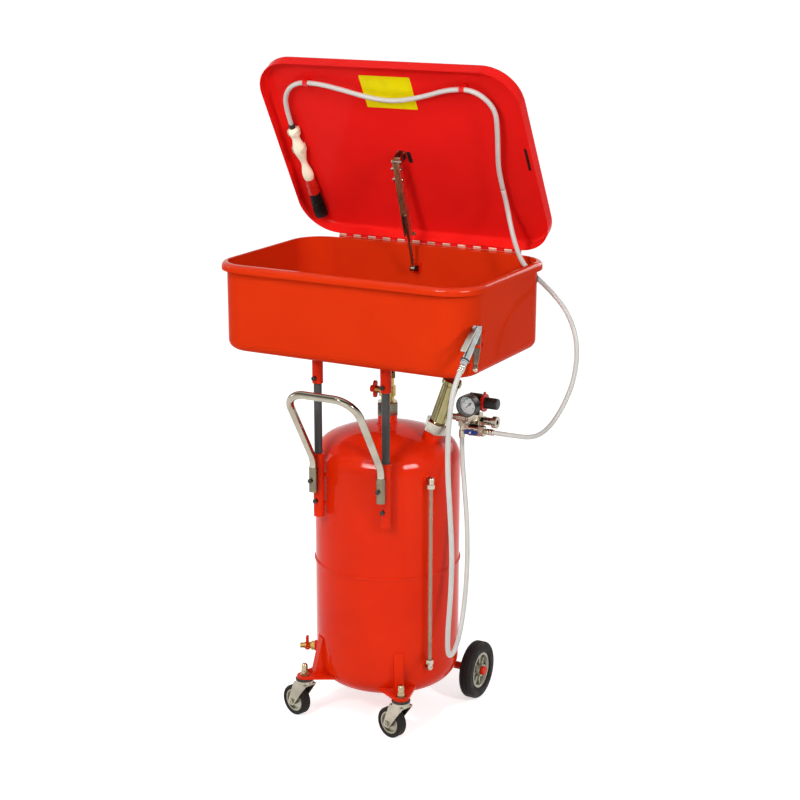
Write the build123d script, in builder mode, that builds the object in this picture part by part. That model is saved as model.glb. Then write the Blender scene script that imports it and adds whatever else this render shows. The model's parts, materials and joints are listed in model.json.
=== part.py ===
from build123d import *
import math
import os

os.makedirs("parts", exist_ok=True)

# Drum parts washer, in millimetres. +Z is up, -Y is the front, and the floor is Z = 0.
# Places below are measured from the tank's axis. It stands at AXIS_X and AXIS_Y, so that the origin
# lies under the middle of the whole machine.

# Tank
TANK_DIAMETER = 370
TANK_WALL = 3
TANK_BOTTOM = 59
TANK_TOP = 765
CROWN_RADIUS = 370
KNUCKLE_RADIUS = 60
SEAM_WIDTH = 9
SEAM_PROUD = 1.5
NOZZLE_RADIUS = 25
NOZZLE_BORE = 18
NOZZLE_RISE = 25
BOSS_PROUD = 6

# Casters and their brackets
CASTER_X = 141
CASTER_FRONT = 186
CASTER_HEADING = 163
CASTER_TRAIL = 32
CASTER_WHEEL_RADIUS = 40
CASTER_TYRE_WIDTH = 28
CASTER_RIM_RADIUS = 29
PLATE_TOP = 118
PLATE_THICKNESS = 6
PLATE_NOSE_RADIUS = 20
PLATE_ROOT_WIDTH = 110
GUSSET_WIDTH = 24
GUSSET_SHEET = 3
GUSSET_TOP = 215
STEM_RADIUS = 5
RACE_HEIGHT = 6
RACE_RADIUS = 21
FORK_CUP_HEIGHT = 8
FORK_SHEET = 3.5
CASTER_AXLE_RADIUS = 4

# Rear wheels and axle
AXLE_BACK = 146
AXLE_RADIUS = 10
AXLE_STUB_RADIUS = 8
REAR_WHEEL_RADIUS = 76
REAR_TYRE_WIDTH = 34
REAR_RIM_RADIUS = 47
REAR_WHEEL_X = 189
HANGER_X = 70
HANGER_SHEET = 6
HUB_GAP = 1
CAP_LENGTH = 9
SPOKE_COUNT = 8

# Posts, sockets and push handle
POST_X = 95
POST_FRONT = 181
POST_RADIUS = 10
POST_WALL = 2
SOCKET_RADIUS = 13.5
SOCKET_LENGTH = 163
SOCKET_DROP = 44
SINK_SOCKET_LENGTH = 69
TAB_RISES = (28, 103)
TAB_WIDTH = 14
TAB_THICKNESS = 6
SLEEVE_RADIUS = 11.5
SLEEVE_LENGTH = 62
SLEEVE_DROP = 31
HANDLE_RADIUS = 9.5
HANDLE_WALL = 1.5
HANDLE_BEND_RISE = 21
HANDLE_REACH = 334
HANDLE_RISE = 200
HANDLE_BEND_RADIUS = 55
SCREW_RADIUS = 3
SCREW_HEAD_RADIUS = 5.5
SCREW_HEAD_LENGTH = 8

# Sink
SINK_WIDTH = 710
SINK_LENGTH = 473
SINK_BACK = 209
SINK_DEPTH = 217
SINK_RISE = 204
SINK_SHEET = 2
SINK_CORNER = 78
SINK_BOTTOM_FILLET = 22
RIM_OVERHANG = 13
RIM_HEIGHT = 19
RIM_FILLET = 11
STRAINER_RADIUS = 28
STRAINER_FLANGE_RADIUS = 40
STRAINER_LENGTH = 70
STRAINER_SHEET = 2
STRAINER_HOLE_RADIUS = 3
DRAIN_TAIL_RADIUS = 17
UNION_HEIGHT = 33
UNION_HEX_RADIUS = 29
UNION_CHAMFER = 2
DRAIN_STEM_DROP = 49

# Lid, hinge and stay
LID_WIDTH = 708
LID_REACH = 531
LID_BACK = 6
LID_DEPTH = 35
LID_LIP = 4
LID_SHEET = 2
LID_CORNER = 95
LID_EDGE_FILLET = 10
LID_OPEN = 60
LID_SLOT_X = 321.5
LID_SLOT_Y = 263
LID_SLOT_LENGTH = 66
LID_SLOT_WIDTH = 8
HINGE_BACK = 6
HINGE_RISE = 6
HINGE_PIN_RADIUS = 2.5
KNUCKLE_HINGE_RADIUS = 5
KNUCKLE_COUNT = 24
KNUCKLE_PITCH = 21.7
KNUCKLE_GAP = 0.5
LEAF_WIDTH = 22
LEAF_SHEET = 2
STAY_X = -22
STAY_LID_Y = 253
STAY_LID_Z = 2
STAY_FOOT_FRONT = 38
STAY_FOOT_DROP = 64
STAY_PIN_RADIUS = 3
CHANNEL_LENGTH = 205
CHANNEL_WIDTH = 18
CHANNEL_BACK = 9
CHANNEL_FRONT = 7
CHANNEL_SHEET = 2
STAY_ROD_RADIUS = 4
STAY_ROD_LENGTH = 150
BRACKET_SHEET = 2

# Brush and the clips on the lid
BRUSH_X = -307
BRUSH_LIFT = 18.5
BRUSH_TOP = 326
BRUSH_HANDLE_LENGTH = 158
BRUSH_BELLY_RADIUS = 16
FERRULE_LENGTH = 45
FERRULE_RADIUS = 15
BRISTLE_LENGTH = 78
BRISTLE_RADIUS = 0.55
BRISTLE_RINGS = 11
BRISTLE_RING_STEP = 1.2
CLIP_WIDTH = 12
CLIP_SHEET = 2

# Filler neck
NECK_X = 140
NECK_RISE = 17
NECK_TILT = 20
NECK_RADIUS = 21
NECK_WALL = 2
NECK_LENGTH = 120
NECK_SEAT = 18
NECK_BOSS_RADIUS = 25
NECK_NUT_HEIGHT = 28
NECK_NUT_HEX_RADIUS = 31
NECK_CAP_RADIUS = 25
NECK_CAP_HEIGHT = 16
DIP_TUBE_RADIUS = 6
DIP_TUBE_LENGTH = 640
DIP_TUBE_WALL = 1

# Air unit
PIPE_RISE = 26
PIPE_RADIUS = 8
TEE_X = 210
BLOCK_X = 246
BLOCK_SIZE = 32
REGULATOR_RISE = 46
REGULATOR_RADIUS = 21
REGULATOR_LENGTH = 28
BONNET_RADIUS = 17
BONNET_LENGTH = 8
RING_RADIUS = 22.5
RING_LENGTH = 5
RING_BORE = 12
KNOB_RADIUS = 14
KNOB_LENGTH = 34
SPINDLE_RADIUS = 5
SPINDLE_LENGTH = 22
GAUGE_RADIUS = 27
GAUGE_DEPTH = 24
GAUGE_WALL = 2.5
GAUGE_STEM_FRONT = 24
GAUGE_STEM_LENGTH = 6
DIAL_THICKNESS = 1
LENS_THICKNESS = 2
LENS_RECESS = 2
NEEDLE_LENGTH = 18
VALVE_FRONT = 34
VALVE_DROP = 16
VALVE_RADIUS = 15
VALVE_HEX_RADIUS = 14
VALVE_LENGTH = 52
COUPLER_RADIUS = 12
COUPLER_LENGTH = 44
COUPLER_BORE = 6
BARB_RADIUS = 4

# Sight gauge and drain cock
SIGHT_AZIMUTH = -29.8
SIGHT_TOP_DROP = 96
SIGHT_BOTTOM_RISE = 115
SIGHT_STANDOFF = 20
SIGHT_TUBE_RADIUS = 5
SIGHT_TUBE_WALL = 1.5
SIGHT_BOSS_RADIUS = 11
ELBOW_RADIUS = 7
ELBOW_DROP = 21
COCK_AZIMUTH = 207
COCK_RISE = 98
COCK_BOSS_RADIUS = 14
COCK_BORE = 4
COCK_LEVER_LENGTH = 30

# Blow gun
GUN_STANDOFF = 13
GUN_APEX_Y = -218
GUN_DROP = 96
GUN_BARREL_LENGTH = 97
GUN_BARREL_LEAN = 6.5
GUN_GRIP_LENGTH = 106
GUN_GRIP_LEAN = 47.5
GUN_BARREL_RADIUS = 9
GUN_GRIP_RADIUS = 10
GUN_NOZZLE_RADIUS = 4
TRIGGER_LENGTH = 68
TRIGGER_LIFT = 15
TRIGGER_LEAN = 7
HOOK_RADIUS = 4

# Hoses and fits
HOSE_RADIUS = 6
RUNNING_CLEARANCE = 0.05
FREE_GAP = 0.3

# Sizes that follow from the driving ones: the tank
TANK_RADIUS = TANK_DIAMETER / 2
HEAD_REACH = TANK_RADIUS - KNUCKLE_RADIUS
HEAD_RISE = math.sqrt((CROWN_RADIUS - KNUCKLE_RADIUS) ** 2 - HEAD_REACH**2)
HEAD_HEIGHT = CROWN_RADIUS - HEAD_RISE
SEAM_HEIGHT = (TANK_TOP + TANK_BOTTOM) / 2
NOZZLE_TOP = TANK_TOP + NOZZLE_RISE
UNION_TOP = NOZZLE_TOP + UNION_HEIGHT
SIGHT_TOP = TANK_TOP - SIGHT_TOP_DROP
SIGHT_BOTTOM = TANK_BOTTOM + SIGHT_BOTTOM_RISE
COCK_HEIGHT = TANK_BOTTOM + COCK_RISE
PLATE_BOTTOM = PLATE_TOP - PLATE_THICKNESS
CASTER_DISTANCE = math.hypot(CASTER_X, CASTER_FRONT)

# The posts and the handle
SOCKET_TOP = TANK_TOP - SOCKET_DROP
SOCKET_BOTTOM = SOCKET_TOP - SOCKET_LENGTH
TAB_HEIGHTS = [SOCKET_BOTTOM + rise for rise in TAB_RISES]
SLEEVE_Y = -POST_FRONT - SOCKET_RADIUS - SLEEVE_RADIUS
SLEEVE_TOP = SOCKET_TOP - SLEEVE_DROP
SLEEVE_BOTTOM = SLEEVE_TOP - SLEEVE_LENGTH
HANDLE_BEND_HEIGHT = SLEEVE_TOP + HANDLE_BEND_RISE
HANDLE_TOP = HANDLE_BEND_HEIGHT + HANDLE_RISE

# The sink and the air unit
SINK_FLOOR = TANK_TOP + SINK_RISE
SINK_RIM_TOP = SINK_FLOOR + SINK_DEPTH
SINK_FRONT = SINK_LENGTH - SINK_BACK
SINK_MIDDLE_Y = SINK_BACK - SINK_LENGTH / 2
SINK_WALL_X = SINK_WIDTH / 2 - RIM_OVERHANG
SINK_WALL_BACK = SINK_BACK - RIM_OVERHANG
SINK_SOCKET_BOTTOM = SINK_FLOOR - SINK_SOCKET_LENGTH
STRAINER_SEAT = SINK_FLOOR + SINK_SHEET - STRAINER_SHEET
STRAINER_BOTTOM = SINK_FLOOR - STRAINER_LENGTH
DRAIN_STEM_HEIGHT = STRAINER_BOTTOM - DRAIN_STEM_DROP
NECK_HEIGHT = TANK_TOP + NECK_RISE
PIPE_HEIGHT = NECK_HEIGHT + PIPE_RISE
REGULATOR_HEIGHT = PIPE_HEIGHT + REGULATOR_RISE
VALVE_HEIGHT = PIPE_HEIGHT - VALVE_DROP
GUN_X = SINK_WALL_X + GUN_STANDOFF
GUN_APEX_Z = SINK_RIM_TOP - GUN_DROP
HOOK_END = GUN_X + GUN_GRIP_RADIUS + HOOK_RADIUS

# The lid
HINGE_Y = SINK_BACK + HINGE_BACK
HINGE_Z = SINK_RIM_TOP + HINGE_RISE
LEAF_START = KNUCKLE_HINGE_RADIUS - 1
LID_PANEL = LID_LIP - LID_DEPTH
LID_INSIDE = LID_PANEL + LID_SHEET
LID_HOSE_Z = LID_INSIDE + BRUSH_LIFT
lid_c = math.cos(math.radians(LID_OPEN))
lid_s = math.sin(math.radians(LID_OPEN))

# The tank's axis, from the widest and deepest places of the machine without its hoses
WHEEL_REAR = AXLE_BACK + REAR_WHEEL_RADIUS
LEAF_REAR = HINGE_Y - (LID_BACK - LEAF_SHEET) * lid_c + (LEAF_START + LEAF_WIDTH) * lid_s
lid_edge_up = LID_BACK + LID_EDGE_FILLET
lid_edge_out = LID_PANEL + LID_EDGE_FILLET
LID_REAR = HINGE_Y - lid_edge_up * lid_c - lid_edge_out * lid_s + LID_EDGE_FILLET
AXIS_X = (max(SINK_WIDTH, LID_WIDTH) / 2 - HOOK_END) / 2
AXIS_Y = (HANDLE_REACH + HANDLE_RADIUS - max(WHEEL_REAR, LEAF_REAR, LID_REAR)) / 2


def at(x, y, z):
    """A point measured from the tank's axis and the floor."""
    return Vector(AXIS_X + x, AXIS_Y + y, z)


def level(x, y, z):
    """A horizontal plane that looks up."""
    return Plane(origin=at(x, y, z), x_dir=(1, 0, 0), z_dir=(0, 0, 1))


def toward_front(x, y, z):
    """An upright plane that looks to the front, with its own y upward."""
    return Plane(origin=at(x, y, z), x_dir=(1, 0, 0), z_dir=(0, -1, 0))


def toward_right(x, y, z):
    """An upright plane that looks along +X, with its own y upward."""
    return Plane(origin=at(x, y, z), x_dir=(0, 1, 0), z_dir=(1, 0, 0))


def outward(azimuth, distance, z):
    """An upright plane that looks away from the tank's axis, with its own y upward."""
    c = math.cos(math.radians(azimuth))
    s = math.sin(math.radians(azimuth))
    return Plane(origin=at(distance * c, distance * s, z), x_dir=(-s, c, 0), z_dir=(c, s, 0))


def keep(piece, name):
    """Labels a finished piece and writes it."""
    piece.part.label = name
    export_step(piece.part, f"parts/{name}.step")


TANK_AXIS = Axis(at(0, 0, 0), (0, 0, 1))
AXIAL = toward_front(0, 0, 0)


def vessel(inset):
    """The tank's outer body, or with an inset its hollow."""
    radius = TANK_RADIUS - inset
    crown = CROWN_RADIUS - inset
    knuckle = KNUCKLE_RADIUS - inset
    top = TANK_TOP - inset
    bottom = TANK_BOTTOM + inset
    high = TANK_TOP - HEAD_HEIGHT
    low = TANK_BOTTOM + HEAD_HEIGHT
    lean = math.degrees(math.atan2(HEAD_RISE, HEAD_REACH))
    with BuildPart() as body:
        with BuildSketch(AXIAL):
            with BuildLine():
                Line((0, bottom), (0, top))
                CenterArc((0, TANK_TOP - CROWN_RADIUS), crown, lean, 90 - lean)
                CenterArc((HEAD_REACH, high), knuckle, 0, lean)
                Line((radius, low), (radius, high))
                CenterArc((HEAD_REACH, low), knuckle, -lean, lean)
                CenterArc((0, TANK_BOTTOM + CROWN_RADIUS), crown, -90, 90 - lean)
            make_face()
        revolve(axis=TANK_AXIS)
    return body.part


tank_outside = vessel(0)
tank_hollow = vessel(TANK_WALL)

neck_lean = math.radians(NECK_TILT)


def along_neck(distance):
    """A plane square to the filler neck, at a distance up it from the middle of its nut."""
    s = math.sin(neck_lean)
    c = math.cos(neck_lean)
    origin = at(NECK_X + distance * s, 0, NECK_HEIGHT + distance * c)
    return Plane(origin=origin, x_dir=(c, 0, -s), z_dir=(s, 0, c))


# Tank: one welded shell with its seam, nozzle and bosses
with BuildPart() as tank:
    add(tank_outside)
    with BuildSketch(AXIAL):
        with Locations((TANK_RADIUS, SEAM_HEIGHT)):
            Rectangle(2 * SEAM_PROUD, SEAM_WIDTH)
    revolve(axis=TANK_AXIS)
    with BuildSketch(level(0, 0, NOZZLE_TOP)):
        Circle(NOZZLE_RADIUS)
    extrude(amount=-(NOZZLE_TOP - TANK_TOP + NOZZLE_RADIUS))
    with BuildSketch(along_neck(-NECK_SEAT)):
        Circle(NECK_BOSS_RADIUS)
    extrude(amount=-2 * NECK_BOSS_RADIUS)
    for height in (SIGHT_TOP, SIGHT_BOTTOM):
        with BuildSketch(outward(SIGHT_AZIMUTH, TANK_RADIUS + BOSS_PROUD, height)):
            Circle(SIGHT_BOSS_RADIUS)
        extrude(amount=-2 * SIGHT_BOSS_RADIUS)
    with BuildSketch(outward(COCK_AZIMUTH, TANK_RADIUS + BOSS_PROUD, COCK_HEIGHT)):
        Circle(COCK_BOSS_RADIUS)
    extrude(amount=-2 * COCK_BOSS_RADIUS)
    add(tank_hollow, mode=Mode.SUBTRACT)
    with BuildSketch(level(0, 0, NOZZLE_TOP)):
        Circle(NOZZLE_BORE)
    extrude(amount=-2 * NOZZLE_RADIUS, mode=Mode.SUBTRACT)
    with BuildSketch(along_neck(-NECK_SEAT)):
        Circle(NECK_RADIUS - NECK_WALL)
    extrude(amount=-3 * NECK_BOSS_RADIUS, mode=Mode.SUBTRACT)
    for height in (SIGHT_TOP, SIGHT_BOTTOM):
        with BuildSketch(outward(SIGHT_AZIMUTH, TANK_RADIUS + BOSS_PROUD, height)):
            Circle(COCK_BORE)
        extrude(amount=-2 * SIGHT_BOSS_RADIUS, mode=Mode.SUBTRACT)
    with BuildSketch(outward(COCK_AZIMUTH, TANK_RADIUS + BOSS_PROUD, COCK_HEIGHT)):
        Circle(COCK_BORE)
    extrude(amount=-2 * COCK_BOSS_RADIUS, mode=Mode.SUBTRACT)
keep(tank, "tank_shell")


def caster_plane(side, z):
    """A level plane whose x runs from the tank's axis out to a caster."""
    c = side * CASTER_X / CASTER_DISTANCE
    s = -CASTER_FRONT / CASTER_DISTANCE
    return Plane(origin=at(0, 0, z), x_dir=(c, s, 0), z_dir=(0, 0, 1))


def caster_upright(side):
    """An upright plane through the tank's axis and a caster: x outward, y upward."""
    c = side * CASTER_X / CASTER_DISTANCE
    s = -CASTER_FRONT / CASTER_DISTANCE
    return Plane(origin=at(0, 0, 0), x_dir=(c, s, 0), z_dir=(s, -c, 0))


# Caster brackets: a nosed plate and a folded gusset, both welded to the tank
with BuildPart() as brackets:
    for side in (-1, 1):
        with BuildSketch(caster_plane(side, PLATE_BOTTOM)):
            with Locations((CASTER_DISTANCE, 0)):
                Circle(PLATE_NOSE_RADIUS)
            with Locations((HEAD_REACH + PLATE_NOSE_RADIUS, 0)):
                Rectangle(PLATE_NOSE_RADIUS, PLATE_ROOT_WIDTH)
            make_hull()
            with Locations((CASTER_DISTANCE, 0)):
                Circle(STEM_RADIUS, mode=Mode.SUBTRACT)
        extrude(amount=PLATE_THICKNESS)
        gusset_foot = CASTER_DISTANCE - PLATE_NOSE_RADIUS - GUSSET_SHEET
        with BuildSketch(caster_upright(side)):
            Polygon(
                (HEAD_REACH + PLATE_NOSE_RADIUS, PLATE_TOP),
                (gusset_foot, PLATE_TOP),
                (TANK_RADIUS + GUSSET_SHEET, GUSSET_TOP),
                (HEAD_REACH + PLATE_NOSE_RADIUS, GUSSET_TOP),
                align=None,
            )
        extrude(amount=GUSSET_WIDTH / 2, both=True)
        with BuildSketch(caster_upright(side)):
            Polygon(
                (HEAD_REACH, PLATE_TOP),
                (gusset_foot - GUSSET_SHEET, PLATE_TOP),
                (TANK_RADIUS, GUSSET_TOP),
                (HEAD_REACH, GUSSET_TOP),
                align=None,
            )
        extrude(amount=GUSSET_WIDTH / 2 - GUSSET_SHEET, both=True, mode=Mode.SUBTRACT)
    add(tank_outside, mode=Mode.SUBTRACT)
keep(brackets, "caster_brackets")

# Caster stems: cap nut and washer above the plate, bearing race and retaining head below it
STEM_WASHER = 2.5
STEM_NUT_HEIGHT = 10
STEM_NUT_HEX_RADIUS = 9.8
STEM_CAP_RADIUS = 8
STEM_CAP_HEIGHT = 20
STEM_HEAD_RADIUS = 9
STEM_HEAD_HEIGHT = 4
FORK_TOP = PLATE_BOTTOM - RACE_HEIGHT - FREE_GAP
FORK_UNDERSIDE = FORK_TOP - FORK_CUP_HEIGHT - FORK_SHEET
with BuildPart() as stems:
    for side in (-1, 1):
        x = side * CASTER_X
        with BuildSketch(level(x, -CASTER_FRONT, PLATE_TOP)):
            Circle(STEM_NUT_HEX_RADIUS + STEM_WASHER)
        extrude(amount=STEM_WASHER)
        with BuildSketch(level(x, -CASTER_FRONT, PLATE_TOP + STEM_WASHER)):
            RegularPolygon(STEM_NUT_HEX_RADIUS, 6)
        extrude(amount=STEM_NUT_HEIGHT)
        with BuildSketch(level(x, -CASTER_FRONT, PLATE_TOP + STEM_WASHER + STEM_NUT_HEIGHT)):
            Circle(STEM_CAP_RADIUS)
        cap = extrude(amount=STEM_CAP_HEIGHT)
        fillet(cap.edges().group_by(Axis.Z)[-1], STEM_CAP_RADIUS - 1)
        with BuildSketch(level(x, -CASTER_FRONT, PLATE_TOP)):
            Circle(STEM_RADIUS)
        extrude(amount=-(PLATE_TOP - FORK_UNDERSIDE + FREE_GAP))
        with BuildSketch(level(x, -CASTER_FRONT, PLATE_BOTTOM)):
            Circle(RACE_RADIUS)
        extrude(amount=-RACE_HEIGHT)
        with BuildSketch(level(x, -CASTER_FRONT, FORK_UNDERSIDE - FREE_GAP)):
            Circle(STEM_HEAD_RADIUS)
        extrude(amount=-STEM_HEAD_HEIGHT)
keep(stems, "caster_stems")

heading = math.radians(CASTER_HEADING)
trail_x = math.cos(heading)
trail_y = math.sin(heading)


def fork_plane(side, offset):
    """An upright plane along a caster's trail: x to the rear of the wheel, y upward."""
    origin = at(side * CASTER_X + offset * trail_y, -CASTER_FRONT - offset * trail_x, 0)
    return Plane(origin=origin, x_dir=(trail_x, trail_y, 0), z_dir=(trail_y, -trail_x, 0))


LEG_ROOM = 2
LEG_INSIDE = CASTER_TYRE_WIDTH / 2 + LEG_ROOM
LEG_EYE_RADIUS = 11
FORK_HEAD_LENGTH = 44
for side, word in ((-1, "left"), (1, "right")):
    # Fork: bearing cup, head plate, two pressed legs and the riveted axle
    with BuildPart() as fork:
        with BuildSketch(level(side * CASTER_X, -CASTER_FRONT, FORK_TOP)):
            Circle(RACE_RADIUS + LEG_ROOM)
        extrude(amount=-FORK_CUP_HEIGHT)
        with BuildSketch(fork_plane(side, -LEG_INSIDE - FORK_SHEET)):
            with Locations((0, FORK_UNDERSIDE + FORK_SHEET / 2)):
                Rectangle(FORK_HEAD_LENGTH, FORK_SHEET)
        extrude(amount=2 * (LEG_INSIDE + FORK_SHEET))
        for offset in (-LEG_INSIDE - FORK_SHEET, LEG_INSIDE):
            with BuildSketch(fork_plane(side, offset)):
                with Locations((CASTER_TRAIL, CASTER_WHEEL_RADIUS)):
                    Circle(LEG_EYE_RADIUS)
                with Locations((0, FORK_UNDERSIDE + FORK_SHEET / 2)):
                    Rectangle(FORK_HEAD_LENGTH, FORK_SHEET)
                make_hull()
            extrude(amount=FORK_SHEET)
        with BuildSketch(fork_plane(side, -LEG_INSIDE - 2 * FORK_SHEET)):
            with Locations((CASTER_TRAIL, CASTER_WHEEL_RADIUS)):
                Circle(CASTER_AXLE_RADIUS)
        extrude(amount=2 * (LEG_INSIDE + 2 * FORK_SHEET))
        with BuildSketch(level(side * CASTER_X, -CASTER_FRONT, FORK_TOP)):
            Circle(STEM_RADIUS + RUNNING_CLEARANCE)
        extrude(amount=-FORK_CUP_HEIGHT - FORK_SHEET, mode=Mode.SUBTRACT)
    keep(fork, f"caster_fork_{word}")

    hub_plane = fork_plane(side, 0)
    hub_middle = hub_plane.from_local_coords((CASTER_TRAIL, CASTER_WHEEL_RADIUS, 0))
    spin_axis = Axis(hub_middle, hub_plane.z_dir)
    half_plane = Plane(origin=hub_middle, x_dir=(0, 0, 1), z_dir=hub_plane.x_dir)

    # Caster rim: hub, web and bead seat
    with BuildPart() as caster_rim:
        with BuildSketch(half_plane):
            hub_inside = CASTER_AXLE_RADIUS + RUNNING_CLEARANCE
            with BuildLine():
                Polyline(
                    (hub_inside, LEG_INSIDE - FREE_GAP),
                    (10, LEG_INSIDE - FREE_GAP),
                    (12, 5),
                    (23, 5),
                    (25, 11),
                    (CASTER_RIM_RADIUS, 11),
                    (CASTER_RIM_RADIUS, 0),
                    (hub_inside, 0),
                    close=True,
                )
            make_face()
            mirror(about=Plane.XZ)
        revolve(axis=spin_axis)
    keep(caster_rim, f"caster_rim_{word}")

    # Caster tyre
    with BuildPart() as caster_tyre:
        with BuildSketch(half_plane):
            tread = CASTER_WHEEL_RADIUS - CASTER_RIM_RADIUS
            with Locations((CASTER_RIM_RADIUS + tread / 2, 0)):
                tyre_face = Rectangle(tread, CASTER_TYRE_WIDTH)
            fillet(tyre_face.vertices().group_by(Axis.Z)[-1], tread / 2)
        revolve(axis=spin_axis)
    keep(caster_tyre, f"caster_tyre_{word}")

# Rear axle: one bar with two hangers welded under the tank and a cap on each end
WHEEL_INSIDE = REAR_WHEEL_X - REAR_TYRE_WIDTH / 2 - HUB_GAP
WHEEL_OUTSIDE = REAR_WHEEL_X + REAR_TYRE_WIDTH / 2
with BuildPart() as axle:
    with BuildSketch(toward_right(-WHEEL_INSIDE, AXLE_BACK, REAR_WHEEL_RADIUS)):
        Circle(AXLE_RADIUS)
    extrude(amount=2 * WHEEL_INSIDE)
    with BuildSketch(toward_right(-WHEEL_OUTSIDE, AXLE_BACK, REAR_WHEEL_RADIUS)):
        Circle(AXLE_STUB_RADIUS)
    extrude(amount=2 * WHEEL_OUTSIDE)
    for side in (-1, 1):
        with BuildSketch(toward_right(side * HANGER_X, 0, 0)):
            with Locations((AXLE_BACK, REAR_WHEEL_RADIUS)):
                Circle(AXLE_RADIUS + HANGER_SHEET)
            with Locations((AXLE_BACK - 2 * AXLE_RADIUS, TANK_BOTTOM + HEAD_HEIGHT - AXLE_RADIUS)):
                Rectangle(6 * AXLE_RADIUS, AXLE_RADIUS)
            make_hull()
        extrude(amount=HANGER_SHEET / 2, both=True)
    add(tank_outside, mode=Mode.SUBTRACT)
    for side in (-1, 1):
        with BuildSketch(toward_right(side * (WHEEL_OUTSIDE + CAP_LENGTH / 2), AXLE_BACK, REAR_WHEEL_RADIUS)):
            Circle(AXLE_STUB_RADIUS + 4)
        cap = extrude(amount=CAP_LENGTH / 2, both=True)
        fillet(cap.edges().sort_by(Axis.X)[-1 if side > 0 else 0], CAP_LENGTH / 2)
keep(axle, "rear_axle")

for side, word in ((-1, "left"), (1, "right")):
    wheel_middle = at(side * REAR_WHEEL_X, AXLE_BACK, REAR_WHEEL_RADIUS)
    spin_axis = Axis(wheel_middle, (1, 0, 0))
    half_plane = Plane(origin=wheel_middle, x_dir=(0, 0, 1), z_dir=(0, -1, 0))

    # Rear rim: hub, dished web with pressed ribs and bead seat
    with BuildPart() as rear_rim:
        with BuildSketch(half_plane):
            hub_inside = AXLE_STUB_RADIUS + RUNNING_CLEARANCE
            with BuildLine():
                Polyline(
                    (hub_inside, 16),
                    (16, 16),
                    (19, 5),
                    (38, 5),
                    (41, 13),
                    (REAR_RIM_RADIUS, 13),
                    (REAR_RIM_RADIUS, 0),
                    (hub_inside, 0),
                    close=True,
                )
            make_face()
            mirror(about=Plane.XZ)
        revolve(axis=spin_axis)
        rib_plane = Plane(origin=wheel_middle, x_dir=(0, 1, 0), z_dir=(1, 0, 0))
        with BuildSketch(rib_plane):
            with PolarLocations(28.5, SPOKE_COUNT):
                Rectangle(25, 6)
        extrude(amount=9, both=True)
    keep(rear_rim, f"rear_rim_{word}")

    # Rear tyre with two tread grooves
    with BuildPart() as rear_tyre:
        with BuildSketch(half_plane):
            tread = REAR_WHEEL_RADIUS - REAR_RIM_RADIUS
            with Locations((REAR_RIM_RADIUS + tread / 2, 0)):
                tyre_face = Rectangle(tread, REAR_TYRE_WIDTH)
            fillet(tyre_face.vertices().group_by(Axis.Z)[-1], REAR_TYRE_WIDTH / 4)
            with Locations((REAR_WHEEL_RADIUS, -4), (REAR_WHEEL_RADIUS, 4)):
                Rectangle(4, 2, mode=Mode.SUBTRACT)
        revolve(axis=spin_axis)
    keep(rear_tyre, f"rear_tyre_{word}")

# Post sockets: a pair on the tank, on welded tabs, and a pair under the sink
with BuildPart() as sockets:
    for side in (-1, 1):
        with BuildSketch(level(side * POST_X, -POST_FRONT, SOCKET_BOTTOM)):
            Circle(SOCKET_RADIUS)
        extrude(amount=SOCKET_TOP - SOCKET_BOTTOM)
        azimuth = math.degrees(math.atan2(-POST_FRONT, side * POST_X))
        post_distance = math.hypot(POST_X, POST_FRONT)
        for height in TAB_HEIGHTS:
            with BuildSketch(outward(azimuth, post_distance, height)):
                Rectangle(TAB_WIDTH, TAB_THICKNESS)
            extrude(amount=-2 * SOCKET_RADIUS)
        with BuildSketch(level(side * POST_X, -POST_FRONT, SOCKET_BOTTOM)):
            Circle(POST_RADIUS)
        extrude(amount=SOCKET_TOP - SOCKET_BOTTOM, mode=Mode.SUBTRACT)
        with BuildSketch(toward_front(side * POST_X, -POST_FRONT, SOCKET_BOTTOM + 3 * TAB_WIDTH)):
            Circle(SCREW_RADIUS)
        extrude(amount=SOCKET_RADIUS, mode=Mode.SUBTRACT)
    add(tank_outside, mode=Mode.SUBTRACT)
    for side in (-1, 1):
        with BuildSketch(level(side * POST_X, -POST_FRONT, SINK_SOCKET_BOTTOM)):
            Circle(SOCKET_RADIUS)
            Circle(POST_RADIUS, mode=Mode.SUBTRACT)
        extrude(amount=SINK_SOCKET_LENGTH)
        with BuildSketch(toward_front(side * POST_X, -POST_FRONT, SINK_SOCKET_BOTTOM + TAB_WIDTH)):
            Circle(SCREW_RADIUS)
        extrude(amount=SOCKET_RADIUS, mode=Mode.SUBTRACT)
keep(sockets, "post_sockets")

# Posts
POST_BOTTOM = SOCKET_BOTTOM + TAB_WIDTH
POST_TOP = SINK_FLOOR - TAB_WIDTH
with BuildPart() as posts:
    for side in (-1, 1):
        with BuildSketch(level(side * POST_X, -POST_FRONT, POST_BOTTOM)):
            Circle(POST_RADIUS)
            Circle(POST_RADIUS - POST_WALL, mode=Mode.SUBTRACT)
        extrude(amount=POST_TOP - POST_BOTTOM)
keep(posts, "support_posts")

# Handle sleeves, welded to the front of the tank sockets
with BuildPart() as sleeves:
    for side in (-1, 1):
        with BuildSketch(level(side * POST_X, SLEEVE_Y, SLEEVE_BOTTOM)):
            Circle(SLEEVE_RADIUS)
            Circle(HANDLE_RADIUS, mode=Mode.SUBTRACT)
        extrude(amount=SLEEVE_TOP - SLEEVE_BOTTOM)
        with BuildSketch(toward_front(side * POST_X, SLEEVE_Y, (SLEEVE_BOTTOM + SLEEVE_TOP) / 2)):
            Circle(SCREW_RADIUS)
        extrude(amount=SLEEVE_RADIUS, mode=Mode.SUBTRACT)
keep(sleeves, "handle_sleeves")

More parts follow.
